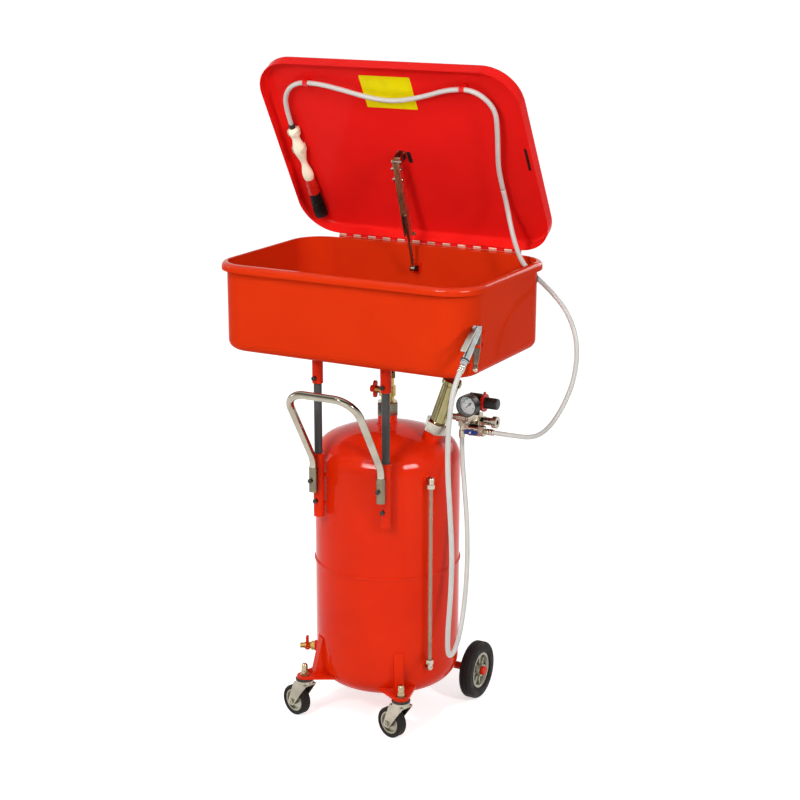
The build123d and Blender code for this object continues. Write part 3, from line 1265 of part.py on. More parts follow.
# Lid stay. Its plane at rest has x along the hinge, y from the lid down to the sink, z to the rear
stay_top = lid_point(STAY_X, STAY_LID_Y, STAY_LID_Z)
stay_foot = at(STAY_X, HINGE_Y - STAY_FOOT_FRONT, HINGE_Z - STAY_FOOT_DROP)
stay_way = (stay_foot - stay_top).normalized()
stay_length = (stay_foot - stay_top).length


def along_stay(distance):
    """A plane square to the stay, at a distance down it from the lid's pivot, with its y to the rear."""
    return Plane(origin=stay_top + stay_way * distance, x_dir=(-1, 0, 0), z_dir=stay_way)


EAR_GAP = FREE_GAP
EAR_RADIUS = 8
with BuildPart() as lid_bracket:
    base = EAR_RADIUS * 2 + 8
    ear_inside = CHANNEL_WIDTH / 2 + EAR_GAP
    with BuildSketch(on_lid(STAY_X, STAY_LID_Y, LID_INSIDE)):
        RectangleRounded(2 * ear_inside + 2 * BRACKET_SHEET, base, 2)
    extrude(amount=BRACKET_SHEET)
    for side in (-1, 1):
        ear_x = STAY_X + side * (ear_inside + BRACKET_SHEET / 2)
        with BuildSketch(toward_right(ear_x, stay_top.Y - AXIS_Y, stay_top.Z)):
            Circle(EAR_RADIUS)
        extrude(amount=BRACKET_SHEET / 2, both=True)
        with BuildSketch(on_lid(ear_x, STAY_LID_Y, LID_INSIDE)):
            Rectangle(BRACKET_SHEET, 2 * EAR_RADIUS)
        extrude(amount=STAY_LID_Z - LID_INSIDE)
    with BuildSketch(toward_right(STAY_X, stay_top.Y - AXIS_Y, stay_top.Z)):
        Circle(STAY_PIN_RADIUS)
    extrude(amount=ear_inside + 2 * BRACKET_SHEET, both=True)
keep(lid_bracket, "stay_lid_bracket")

# Stay channel: open to the front, pinned at the lid, with the latch ears at its lower end
CHANNEL_HEEL = 8
LATCH_SPAN = 34
LATCH_LENGTH = 9
with BuildPart() as channel:
    depth = CHANNEL_BACK + CHANNEL_FRONT
    with BuildSketch(along_stay(-CHANNEL_HEEL)):
        with Locations((0, CHANNEL_BACK - depth / 2)):
            Rectangle(CHANNEL_WIDTH, depth)
        with Locations((0, CHANNEL_BACK - CHANNEL_SHEET - depth / 2)):
            Rectangle(CHANNEL_WIDTH - 2 * CHANNEL_SHEET, depth, mode=Mode.SUBTRACT)
    extrude(amount=CHANNEL_HEEL + CHANNEL_LENGTH)
    with BuildSketch(along_stay(CHANNEL_LENGTH - LATCH_LENGTH)):
        with Locations((0, CHANNEL_BACK + CHANNEL_SHEET / 2)):
            Rectangle(LATCH_SPAN, CHANNEL_SHEET)
    extrude(amount=LATCH_LENGTH)
    with BuildSketch(toward_right(STAY_X, stay_top.Y - AXIS_Y, stay_top.Z)):
        Circle(STAY_PIN_RADIUS + RUNNING_CLEARANCE)
    extrude(amount=CHANNEL_WIDTH, both=True, mode=Mode.SUBTRACT)
keep(channel, "stay_channel")

# Stay rod with an eye at its foot
EYE_RADIUS = 7
EYE_WIDTH = 10
with BuildPart() as stay_rod:
    with BuildSketch(along_stay(stay_length - STAY_ROD_LENGTH)):
        Circle(STAY_ROD_RADIUS)
    extrude(amount=STAY_ROD_LENGTH - (EYE_RADIUS + STAY_PIN_RADIUS) / 2)
    with BuildSketch(toward_right(STAY_X, stay_foot.Y - AXIS_Y, stay_foot.Z)):
        Circle(EYE_RADIUS)
    extrude(amount=EYE_WIDTH / 2, both=True)
    with BuildSketch(toward_right(STAY_X, stay_foot.Y - AXIS_Y, stay_foot.Z)):
        Circle(STAY_PIN_RADIUS + RUNNING_CLEARANCE)
    extrude(amount=EYE_WIDTH, both=True, mode=Mode.SUBTRACT)
keep(stay_rod, "stay_rod")

with BuildPart() as sink_bracket:
    wall_y = SINK_WALL_BACK - SINK_SHEET
    eye_inside = EYE_WIDTH / 2 + EAR_GAP
    with BuildSketch(toward_front(STAY_X, wall_y, stay_foot.Z)):
        RectangleRounded(4 * EYE_RADIUS, 4 * EYE_RADIUS, 3)
    extrude(amount=BRACKET_SHEET)
    for side in (-1, 1):
        ear_x = STAY_X + side * (eye_inside + BRACKET_SHEET / 2)
        with BuildSketch(toward_right(ear_x, stay_foot.Y - AXIS_Y, stay_foot.Z)):
            Circle(EYE_RADIUS)
            with Locations(((wall_y - stay_foot.Y + AXIS_Y) / 2, 0)):
                Rectangle(wall_y - stay_foot.Y + AXIS_Y, 2 * EYE_RADIUS)
        extrude(amount=BRACKET_SHEET / 2, both=True)
    with BuildSketch(toward_right(STAY_X, stay_foot.Y - AXIS_Y, stay_foot.Z)):
        Circle(STAY_PIN_RADIUS)
    extrude(amount=eye_inside + 2 * BRACKET_SHEET, both=True)
keep(sink_bracket, "stay_sink_bracket")

# Brush: turned handle, ferrule and bristles, lying along the lid's left side
HANDLE_END = BRUSH_TOP - BRUSH_HANDLE_LENGTH
FERRULE_END = HANDLE_END - FERRULE_LENGTH
HANDLE_TIP_RADIUS = 9
COLLAR_RADIUS = 14
WAIST_RADIUS = 8
brush_profile = Plane(
    origin=lid_point(BRUSH_X, 0, LID_HOSE_Z), x_dir=(1, 0, 0), z_dir=on_lid(0, 0, 0).z_dir
)
brush_axis = Axis(brush_profile.origin, brush_profile.y_dir)
with BuildPart() as brush_handle:
    with BuildSketch(brush_profile):
        with BuildLine():
            Line((0, HANDLE_END), (FERRULE_RADIUS - 3, HANDLE_END))
            Spline(
                (FERRULE_RADIUS - 3, HANDLE_END),
                (COLLAR_RADIUS, HANDLE_END + 0.12 * BRUSH_HANDLE_LENGTH),
                (WAIST_RADIUS, HANDLE_END + 0.32 * BRUSH_HANDLE_LENGTH),
                (BRUSH_BELLY_RADIUS, HANDLE_END + 0.6 * BRUSH_HANDLE_LENGTH),
                (COLLAR_RADIUS - 3, HANDLE_END + 0.84 * BRUSH_HANDLE_LENGTH),
                (COLLAR_RADIUS, HANDLE_END + 0.92 * BRUSH_HANDLE_LENGTH),
                (HANDLE_TIP_RADIUS, BRUSH_TOP),
            )
            Line((HANDLE_TIP_RADIUS, BRUSH_TOP), (0, BRUSH_TOP))
            Line((0, BRUSH_TOP), (0, HANDLE_END))
        make_face()
    revolve(axis=brush_axis)
keep(brush_handle, "brush_handle")

with BuildPart() as ferrule:
    with BuildSketch(brush_profile):
        with BuildLine():
            Polyline(
                (0, FERRULE_END),
                (FERRULE_RADIUS, FERRULE_END),
                (FERRULE_RADIUS, HANDLE_END - FERRULE_LENGTH / 3),
                (FERRULE_RADIUS - 3, HANDLE_END),
                (0, HANDLE_END),
                close=True,
            )
        make_face()
    revolve(axis=brush_axis)
keep(ferrule, "brush_ferrule")

# Bristles: rings of straight strands that stand on a slice of their backing
BACKING = 3
bristle_plane = Plane(
    origin=lid_point(BRUSH_X, FERRULE_END, LID_HOSE_Z), x_dir=(1, 0, 0), z_dir=-brush_profile.y_dir
)
with BuildPart() as bristles:
    with BuildSketch(bristle_plane):
        Circle(FERRULE_RADIUS - 1)
    extrude(amount=BACKING)
    with BuildSketch(bristle_plane):
        for index in range(1, BRISTLE_RINGS + 1):
            with PolarLocations(index * BRISTLE_RING_STEP, 6 * index):
                RegularPolygon(BRISTLE_RADIUS, 3)
    extrude(amount=BRISTLE_LENGTH)
keep(bristles, "brush_bristles")

# Clips on the lid: two spring clips for the brush and two saddles for its hose
CLIP_LEFT = (-223, 466)
CLIP_RIGHT = (205, 470)
with BuildPart() as clips:
    clip_places = ((0.6, BRUSH_BELLY_RADIUS), (0.92, COLLAR_RADIUS))
    for share, radius in clip_places:
        y = HANDLE_END + share * BRUSH_HANDLE_LENGTH
        clip_plane = Plane(
            origin=lid_point(BRUSH_X, y - CLIP_WIDTH / 2, LID_HOSE_Z), x_dir=(1, 0, 0), z_dir=brush_profile.y_dir
        )
        with BuildSketch(clip_plane):
            Circle(radius + CLIP_SHEET)
            with Locations((0, BRUSH_LIFT / 2)):
                Rectangle(radius, BRUSH_LIFT)
            Circle(radius + FREE_GAP, mode=Mode.SUBTRACT)
            with Locations((0, -radius)):
                Rectangle(1.5 * radius, 2 * radius, mode=Mode.SUBTRACT)
        extrude(amount=CLIP_WIDTH)
    for x, y in (CLIP_LEFT, CLIP_RIGHT):
        with BuildSketch(toward_right(x - CLIP_WIDTH / 2, 0, 0)):
            middle = lid_point(x, y, LID_HOSE_Z) - at(0, 0, 0)
            with Locations((middle.Y, middle.Z)):
                Circle(HOSE_RADIUS + 3)
                with Locations(Location((0, 0), 90 - LID_OPEN)):
                    with Locations((BRUSH_LIFT / 2, 0)):
                        Rectangle(BRUSH_LIFT, 2 * HOSE_RADIUS)
                Circle(HOSE_RADIUS + FREE_GAP, mode=Mode.SUBTRACT)
        extrude(amount=CLIP_WIDTH)
keep(clips, "lid_clips")


# Blow gun, hanging in the plane X = GUN_X with its apex upward
def gun_way(lean):
    """The direction of one leg of the gun, leaning to the front."""
    angle = math.radians(lean)
    return Vector(0, -math.sin(angle), -math.cos(angle))


def along_gun(lean, distance):
    """A plane square to one leg of the gun, at a distance down it from the apex."""
    way = gun_way(lean)
    return Plane(origin=at(GUN_X, GUN_APEX_Y, GUN_APEX_Z) + way * distance, x_dir=(1, 0, 0), z_dir=way)


PIVOT_DISTANCE = 8
TRIGGER_PIN_RADIUS = 2
TRIGGER_SHEET = 3
TRIGGER_WIDTH = 12
LUG_WIDTH = 5
BARREL_SHARE = 0.55
with BuildPart() as gun:
    with BuildSketch(along_gun(GUN_BARREL_LEAN, -GUN_BARREL_RADIUS)):
        Circle(GUN_BARREL_RADIUS)
    extrude(amount=GUN_BARREL_RADIUS + BARREL_SHARE * GUN_BARREL_LENGTH)
    with BuildSketch(along_gun(GUN_BARREL_LEAN, 0)):
        Circle(GUN_NOZZLE_RADIUS)
    extrude(amount=GUN_BARREL_LENGTH)
    with BuildSketch(along_gun(GUN_BARREL_LEAN, GUN_BARREL_LENGTH - 12)):
        Circle(GUN_NOZZLE_RADIUS + 2)
    extrude(amount=8)
    with BuildSketch(along_gun(GUN_GRIP_LEAN, 0)):
        Circle(GUN_GRIP_RADIUS)
    extrude(amount=GUN_GRIP_LENGTH - 14)
    with BuildSketch(along_gun(GUN_GRIP_LEAN, 0)):
        RegularPolygon(HOSE_RADIUS + 3, 6)
    extrude(amount=GUN_GRIP_LENGTH - 4)
    with BuildSketch(along_gun(GUN_GRIP_LEAN, 0)):
        Circle(HOSE_RADIUS)
    extrude(amount=GUN_GRIP_LENGTH)
    with BuildSketch(along_gun(GUN_GRIP_LEAN, PIVOT_DISTANCE)):
        with Locations((0, TRIGGER_LIFT / 2 + TRIGGER_PIN_RADIUS)):
            Rectangle(LUG_WIDTH, TRIGGER_LIFT + 4 * TRIGGER_PIN_RADIUS)
    extrude(amount=2 * TRIGGER_PIN_RADIUS, both=True)
    pivot_plane = along_gun(GUN_GRIP_LEAN, PIVOT_DISTANCE)
    pivot = pivot_plane.from_local_coords((0, TRIGGER_LIFT, 0))
    with BuildSketch(Plane(origin=pivot, x_dir=(0, 1, 0), z_dir=(1, 0, 0))):
        Circle(TRIGGER_PIN_RADIUS)
    extrude(amount=TRIGGER_WIDTH / 2, both=True)
keep(gun, "gun_body")

# Trigger: a bent lever over the grip, forked round the lug
with BuildPart() as trigger:
    with BuildSketch(Plane(origin=pivot, x_dir=(0, 1, 0), z_dir=(1, 0, 0))):
        with Locations(Location((0, 0), 270 - GUN_GRIP_LEAN - TRIGGER_LEAN)):
            with Locations((TRIGGER_LENGTH / 2, 0)):
                SlotOverall(TRIGGER_LENGTH + 2 * TRIGGER_SHEET, 2 * TRIGGER_SHEET)
    extrude(amount=TRIGGER_WIDTH / 2, both=True)
    with BuildSketch(Plane(origin=pivot, x_dir=(0, 1, 0), z_dir=(1, 0, 0))):
        Circle(3 * TRIGGER_SHEET)
    extrude(amount=LUG_WIDTH / 2 + FREE_GAP, both=True, mode=Mode.SUBTRACT)
    with BuildSketch(Plane(origin=pivot, x_dir=(0, 1, 0), z_dir=(1, 0, 0))):
        Circle(TRIGGER_PIN_RADIUS + RUNNING_CLEARANCE)
    extrude(amount=TRIGGER_WIDTH, both=True, mode=Mode.SUBTRACT)
keep(trigger, "gun_trigger")

# Gun hook on the sink's right wall
HOOK_PLATE_MARGIN = 4
HOOK_PLATE_LENGTH = 28
HOOK_PLATE_HEIGHT = 34
HOOK_ARM_HEIGHT = 12
HOOK_SHEET = 3
WALL_FLAT_FRONT = SINK_CORNER + RIM_OVERHANG - SINK_FRONT
HOOK_PLATE_BACK = WALL_FLAT_FRONT + HOOK_PLATE_MARGIN + HOOK_PLATE_LENGTH
barrel_room = GUN_BARREL_RADIUS + HOOK_RADIUS + FREE_GAP
grip_room = GUN_GRIP_RADIUS + HOOK_RADIUS + FREE_GAP
fork_sine = math.sin(math.radians(GUN_GRIP_LEAN - GUN_BARREL_LEAN))
hook_drop = (gun_way(GUN_GRIP_LEAN) * barrel_room + gun_way(GUN_BARREL_LEAN) * grip_room) / fork_sine
hook_y = GUN_APEX_Y + hook_drop.Y
hook_z = GUN_APEX_Z + hook_drop.Z
with BuildPart() as hook:
    with BuildSketch(toward_right(SINK_WALL_X, HOOK_PLATE_BACK - HOOK_PLATE_LENGTH / 2, hook_z)):
        RectangleRounded(HOOK_PLATE_LENGTH, HOOK_PLATE_HEIGHT, 3)
    extrude(amount=HOOK_SHEET)
    with BuildSketch(toward_right(SINK_WALL_X, (HOOK_PLATE_BACK + hook_y) / 2, hook_z)):
        Rectangle(HOOK_PLATE_BACK - hook_y, HOOK_ARM_HEIGHT)
    extrude(amount=HOOK_SHEET)
    with BuildSketch(toward_right(SINK_WALL_X, hook_y, hook_z)):
        Circle(HOOK_RADIUS)
    extrude(amount=HOOK_END - SINK_WALL_X)
keep(hook, "gun_hook")


# Hoses: straight runs joined by the largest arcs that fit, all round tubes of one diameter
def hose(points, name):
    """Sweeps one hose along its points, and compares its volume with its section times its length."""
    radii = []
    for before, corner, after in zip(points, points[1:], points[2:]):
        first = corner - before
        second = after - corner
        turn = math.radians(first.get_angle(second))
        radii.append(0.45 * min(first.length, second.length) / math.tan(turn / 2))
    with BuildPart() as tube:
        with BuildLine() as route:
            FilletPolyline(*points, radius=radii)
        with BuildSketch(Plane(origin=points[0], z_dir=points[1] - points[0])):
            Circle(HOSE_RADIUS)
        sweep(path=route.line)
    length = sum(edge.length for edge in route.edges())
    expected = math.pi * HOSE_RADIUS**2 * length
    print(f"{name}: length {length:.0f}, least bend {min(radii):.0f}, "
          f"volume over section times length {tube.part.volume / expected:.4f}")
    keep(tube, name)


hose(
    [
        along_gun(GUN_GRIP_LEAN, GUN_GRIP_LENGTH).origin,
        along_gun(GUN_GRIP_LEAN, GUN_GRIP_LENGTH + 46).origin,
        at(354, -346, 946),
        at(344, -340, 876),
        at(338, -330, 786),
        at(342, -322, 675),
        at(346, -317, 570),
        at(339, -309, 464),
        at(326, -297, 368),
        at(309, -262, 293),
        at(297, -212, 274),
        at(287, -160, 291),
        at(277, -112, 353),
        at(269, -80, 446),
        at(257, -58, 547),
        at(236, -34, 638),
        at(TEE_X, 0, PIPE_HEIGHT - TAIL_LENGTH - 50),
        at(TEE_X, 0, PIPE_HEIGHT - TAIL_LENGTH),
    ],
    "gun_hose",
)

# The brush hose leaves the sink's corner on a slant, outward and down
hole_middle = hose_hole.origin
hole_way = Vector(0.72, 0.25, -0.65).normalized()
hose(
    [
        at(VALVE_RIGHT + VALVE_TAIL, -VALVE_FRONT, VALVE_HEIGHT),
        at(VALVE_RIGHT + VALVE_TAIL + 54, -VALVE_FRONT, VALVE_HEIGHT),
        at(402, 4, 781),
        at(418, 60, 795),
        at(436, 104, 844),
        at(451, 131, 910),
        at(448, 150, 991),
        at(418, 160, 1060),
        hole_middle + hole_way * 46,
        hole_middle,
    ],
    "brush_hose_outside",
)

flex_top = lid_point(247, 183, LID_HOSE_Z)
hose(
    [
        hole_middle,
        hole_middle - hole_way * 44,
        at(280, 143, 1215),
        at(260, 152, 1266),
        lid_point(247, 135, LID_HOSE_Z),
        flex_top,
    ],
    "brush_hose_flex",
)

hose(
    [
        flex_top,
        lid_point(247, 236, LID_HOSE_Z),
        lid_point(260, 300, LID_HOSE_Z + 2),
        lid_point(272, 358, LID_HOSE_Z + 2),
        lid_point(280, 422, LID_HOSE_Z),
        lid_point(239, CLIP_RIGHT[1], LID_HOSE_Z),
        lid_point(172, CLIP_RIGHT[1], LID_HOSE_Z),
        lid_point(92, 443, LID_HOSE_Z + 1),
        lid_point(12, 426, LID_HOSE_Z + 2),
        lid_point(-58, 434, LID_HOSE_Z + 2),
        lid_point(-125, 452, LID_HOSE_Z + 1),
        lid_point(-190, CLIP_LEFT[1], LID_HOSE_Z),
        lid_point(-256, CLIP_LEFT[1], LID_HOSE_Z),
        lid_point(-296, 428, LID_HOSE_Z + 1),
        lid_point(BRUSH_X, BRUSH_TOP + 50, LID_HOSE_Z),
        lid_point(BRUSH_X, BRUSH_TOP, LID_HOSE_Z),
    ],
    "brush_hose_lid",
)
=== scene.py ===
"""Drum parts washer: finishes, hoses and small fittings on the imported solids, all in metres."""

import json
import math

import bmesh
import bpy
import numpy as np
from mathutils import Matrix, Vector

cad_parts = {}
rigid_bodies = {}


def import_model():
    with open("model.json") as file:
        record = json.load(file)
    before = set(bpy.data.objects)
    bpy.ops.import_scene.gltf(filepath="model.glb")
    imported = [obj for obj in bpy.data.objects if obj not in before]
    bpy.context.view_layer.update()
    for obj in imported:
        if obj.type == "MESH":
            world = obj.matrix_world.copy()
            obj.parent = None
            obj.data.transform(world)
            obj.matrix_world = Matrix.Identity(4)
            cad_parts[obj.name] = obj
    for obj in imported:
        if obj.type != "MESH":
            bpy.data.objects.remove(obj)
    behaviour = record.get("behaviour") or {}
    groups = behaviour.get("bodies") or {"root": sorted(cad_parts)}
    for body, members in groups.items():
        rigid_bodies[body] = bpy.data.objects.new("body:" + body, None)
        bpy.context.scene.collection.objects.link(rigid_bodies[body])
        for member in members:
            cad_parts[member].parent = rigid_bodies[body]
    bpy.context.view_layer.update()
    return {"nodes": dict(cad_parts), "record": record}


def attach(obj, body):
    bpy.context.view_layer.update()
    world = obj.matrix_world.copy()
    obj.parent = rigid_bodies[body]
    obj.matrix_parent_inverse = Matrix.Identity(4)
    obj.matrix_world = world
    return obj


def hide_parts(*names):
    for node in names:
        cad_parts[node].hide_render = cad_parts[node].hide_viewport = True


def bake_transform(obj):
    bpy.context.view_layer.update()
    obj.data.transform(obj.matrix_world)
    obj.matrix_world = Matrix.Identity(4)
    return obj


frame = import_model()
nodes = frame["nodes"]

ACROSS = np.array([1.0, 0.0, 0.0])
UP = np.array([0.0, 0.0, 1.0])

# Sizes shared with the solids, in metres, and the brush's in millimetres
TANK_AXIS = np.array([-0.007, 0.0539917, 0.0])
TANK_RADIUS = 0.185
HINGE = TANK_AXIS + np.array([0.0, 0.215, 1.192])
LID_UP = np.array([0.0, -0.5, math.sqrt(3) / 2])
LID_OUT = np.array([0.0, -math.sqrt(3) / 2, -0.5])
LID_INSIDE = -0.029
HOSE_RADIUS = 0.006
HOSE_LIFT = -0.0105
BRUSH_X, BRUSH_TOP = -307, 326
BRUSH_HANDLE, BRUSH_FERRULE = 158, 45

rng = np.random.default_rng(7)


def tank_place(x, y, z):
    """Millimetres from the tank's axis and the floor to a place in the frame."""
    return TANK_AXIS + np.array([x, y, z]) / 1000


def lid_place(x, up, out):
    """Metres across, up and out of the open lid to places in the frame: hinge + x X + up U + out O."""
    x, up, out = np.broadcast_arrays(x, up, out)
    return HINGE + x[..., None] * ACROSS + up[..., None] * LID_UP + out[..., None] * LID_OUT


def lid_mm(x, up, out=0.0):
    """A place on the lid in millimetres, where out is counted from the hoses' own level."""
    return lid_place(x / 1000, up / 1000, HOSE_LIFT + out / 1000)


# Meshes and objects


def mesh_of(name, points, faces):
    """A mesh from an array of points and a list of faces."""
    mesh = bpy.data.meshes.new(name)
    mesh.from_pydata(points.reshape(-1, 3).tolist(), [], faces)
    return mesh


def surface(name, grid, wrap_u=False, wrap_v=False, uv=None, caps=False):
    """A mesh from a grid of points, where u runs along the first index and v along the second.

    A wrapped direction joins its last row to its first. Caps close the two ends of u with flat faces.
    """
    rows, columns = grid.shape[:2]
    i = np.arange(rows if wrap_u else rows - 1)
    j = np.arange(columns if wrap_v else columns - 1)
    i, j = (part.ravel() for part in np.meshgrid(i, j, indexing="ij"))
    corners_i = np.stack([i, i + 1, i + 1, i], axis=1)
    corners_j = np.stack([j, j, j + 1, j + 1], axis=1)
    faces = ((corners_i % rows) * columns + corners_j % columns).tolist()
    quads = len(faces)
    if caps:
        faces.append(np.arange(columns).tolist())
        faces.append((rows * columns - 1 - np.arange(columns)).tolist())
    mesh = mesh_of(name, grid, faces)
    mesh.polygons.foreach_set("use_smooth", [True] * quads + [False] * (len(faces) - quads))
    if uv is not None:
        layer = mesh.uv_layers.new(name="UVMap")
        values = np.zeros((len(mesh.loops), 2), np.float32)
        values[: quads * 4, 0] = uv[0][corners_i].ravel()
        values[: quads * 4, 1] = uv[1][corners_j].ravel()
        layer.data.foreach_set("uv", values.ravel())
    mesh.update()
    return mesh


def add_object(name, data):
    """An object in the scene that holds a mesh, a curve, a lamp or a camera."""
    made = bpy.data.objects.new(name, data)
    bpy.context.scene.collection.objects.link(made)
    return made


def mesh_of_curve(name, curve):
    """The mesh that a curve or a text turns into; the curve itself is removed."""
    holder = add_object(name, curve)
    bpy.context.view_layer.update()
    mesh = bpy.data.meshes.new_from_object(holder)
    bpy.data.objects.remove(holder)
    bpy.data.curves.remove(curve)
    return mesh


def show(name, mesh, body, finish):
    """Puts a mesh in the scene as a piece, which rides on its body if it has one."""
    piece = add_object(name, mesh)
    piece.data.materials.append(finish)
    if body:
        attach(piece, body)
    return piece


# Node tools


def add_node(tree, kind, inputs, **settings):
    """A node with its settings, and with its inputs linked or set."""
    node = tree.nodes.new(kind)
    for key, value in settings.items():
        setattr(node, key, value)
    for socket, value in inputs.items():
        if isinstance(value, bpy.types.NodeSocket):
            tree.links.new(value, node.inputs[socket])
        else:
            node.inputs[socket].default_value = value
    return node


def effect(name, inputs, output):
    """An empty node group with named numbers as its inputs and one number as its output."""
    tree = bpy.data.node_groups.new(name, "ShaderNodeTree")
    for socket in inputs:
        tree.interface.new_socket(socket, in_out="INPUT", socket_type="NodeSocketFloat")
    tree.interface.new_socket(output, in_out="OUTPUT", socket_type="NodeSocketFloat")
    entry = tree.nodes.new("NodeGroupInput").outputs
    leave = tree.nodes.new("NodeGroupOutput").inputs
    return tree, entry, leave


def use(tree, group, **values):
    """Places a node group in a material with its own values."""
    node = tree.nodes.new("ShaderNodeGroup")
    node.node_tree = group
    for socket, value in values.items():
        node.inputs[socket].default_value = value
    return node.outputs


def ranged(tree, value, low, high, from_low=0.0, from_high=1.0):
    """Maps a value from one range to another, smoothly between the ends."""
    values = {"Value": value, "From Min": from_low, "From Max": from_high, "To Min": low, "To Max": high}
    return add_node(tree, "ShaderNodeMapRange", values, interpolation_type="SMOOTHSTEP").outputs["Result"]


def noise(tree, vector, scale, detail=3.0):
    """Noise texture on a coordinate, from 0 to 1."""
    values = {"Vector": vector, "Scale": scale, "Detail": detail, "Roughness": 0.55}
    return add_node(tree, "ShaderNodeTexNoise", values).outputs[0]


def math_node(tree, operation, first, second=0.0):
    """One arithmetic step."""
    node = add_node(tree, "ShaderNodeMath", {0: first, 1: second}, operation=operation)
    return node.outputs[0]


def blend_colours(tree, amount, first, second):
    """A colour between two others."""
    node = tree.nodes.new("ShaderNodeMix")
    node.data_type = "RGBA"
    for socket, value in ((0, amount), (6, first), (7, second)):
        if isinstance(value, bpy.types.NodeSocket):
            tree.links.new(value, node.inputs[socket])
        else:
            node.inputs[socket].default_value = value if socket == 0 else (*value, 1.0)
    return node.outputs[2]


def own_place(tree):
    """A point's place in its piece's own frame."""
    return tree.nodes.new("ShaderNodeTexCoord").outputs["Object"]


def facing_up(tree):
    """How far a surface looks up: the height of its normal, from -1 to 1."""
    normal = tree.nodes.new("ShaderNodeNewGeometry").outputs["Normal"]
    return add_node(tree, "ShaderNodeSeparateXYZ", {0: normal}).outputs["Z"]


def seen_itself(tree):
    """1 for what the camera, metal or glass sees, and 0 for what only lights other things."""
    path = tree.nodes.new("ShaderNodeLightPath")
    seen = math_node(tree, "MAXIMUM", path.outputs["Is Camera Ray"], path.outputs["Is Glossy Ray"])
    return math_node(tree, "MAXIMUM", seen, path.outputs["Is Transmission Ray"])


# Effects that the finishes share


def make_mottle():
    """Cloudy patches: noise stretched to run from 0 to 1."""
    tree, entry, leave = effect("mottle", ["Scale"], "Patch")
    place = own_place(tree)
    cloud = noise(tree, place, entry["Scale"])
    tree.links.new(ranged(tree, cloud, 0.0, 1.0, 0.3, 0.7), leave["Patch"])
    return tree


def make_peel():
    """The fine waves of sprayed enamel, as a height."""
    tree, entry, leave = effect("sprayed_peel", ["Scale"], "Height")
    place = own_place(tree)
    tree.links.new(noise(tree, place, entry["Scale"], detail=1.0), leave["Height"])
    return tree


def make_rubs():
    """Short dull rub marks: noise squeezed along one direction and cut off at a level."""
    tree, entry, leave = effect("rub_marks", ["Scale", "Level"], "Mask")
    place = own_place(tree)
    squeeze = add_node(tree, "ShaderNodeMapping", {"Vector": place, "Scale": (1.0, 1.0, 6.0)})
    fine = noise(tree, squeeze.outputs[0], entry["Scale"], detail=4.0)
    above = math_node(tree, "SUBTRACT", fine, entry["Level"])
    tree.links.new(ranged(tree, above, 0.0, 1.0, 0.0, 0.08), leave["Mask"])
    return tree


def make_drawn():
    """Fine lines left by drawing or turning: noise squeezed along one direction."""
    tree, entry, leave = effect("drawn_lines", ["Scale", "Along Z"], "Line")
    place = own_place(tree)
    stretch = add_node(tree, "ShaderNodeCombineXYZ", {0: 1.0, 1: 1.0, 2: entry["Along Z"]})
    squeeze = add_node(tree, "ShaderNodeVectorMath", {0: place, 1: stretch.outputs[0]}, operation="MULTIPLY")
    tree.links.new(noise(tree, squeeze.outputs[0], entry["Scale"], detail=2.0), leave["Line"])
    return tree


def make_dust():
    """Dust that settles on faces that look up: the normal's height times a cloud."""
    tree, entry, leave = effect("settled_dust", ["Amount", "Scale"], "Mask")
    facing = ranged(tree, facing_up(tree), 0.0, 1.0, 0.2, 1.0)
    place = own_place(tree)
    cloud = ranged(tree, noise(tree, place, entry["Scale"], detail=5.0), 0.0, 1.0, 0.35, 0.75)
    lying = math_node(tree, "MULTIPLY", facing, cloud)
    tree.links.new(math_node(tree, "MULTIPLY", lying, entry["Amount"]), leave["Mask"])
    return tree


def make_painted_horizon_reflection():
    """A painted reflection of a dark horizon, as bright bars show one: 1 where the normal's height is a given value,
    0 beyond a width.
    """
    tree, entry, leave = effect("painted_horizon_reflection", ["Height", "Width"], "Painted Reflection")
    apart = math_node(tree, "ABSOLUTE", math_node(tree, "SUBTRACT", facing_up(tree), entry["Height"]))
    share = math_node(tree, "DIVIDE", apart, entry["Width"])
    tree.links.new(ranged(tree, share, 1.0, 0.0), leave["Painted Reflection"])
    return tree


MOTTLE = make_mottle()
PEEL = make_peel()
RUBS = make_rubs()
DRAWN = make_drawn()
DUST = make_dust()
PAINTED_HORIZON_REFLECTION = make_painted_horizon_reflection()


# Finishes

PALE_DUST = (0.62, 0.50, 0.44)
GREY_DUST = (0.30, 0.27, 0.24)
DULLED = 0.22
RIM_FADE = 0.006
PARTING = 0.0003
BRAID_PITCH = 0.0045
BRAID_STARTS = 6


def finish_base(name):
    """A new material with its Principled shader and output."""
    made = bpy.data.materials.new(name)
    made.use_nodes = True
    tree = made.node_tree
    shader = tree.nodes["Principled BSDF"]
    return made, tree, shader


def bump(tree, shader, height, strength, distance):
    """Raises the surface by a height through the shader's normal."""
    node = add_node(tree, "ShaderNodeBump", {"Height": height, "Strength": strength, "Distance": distance})
    tree.links.new(node.outputs["Normal"], shader.inputs["Normal"])


def darker(colour, share):
    """A share of a colour."""
    return tuple(share * part for part in colour)


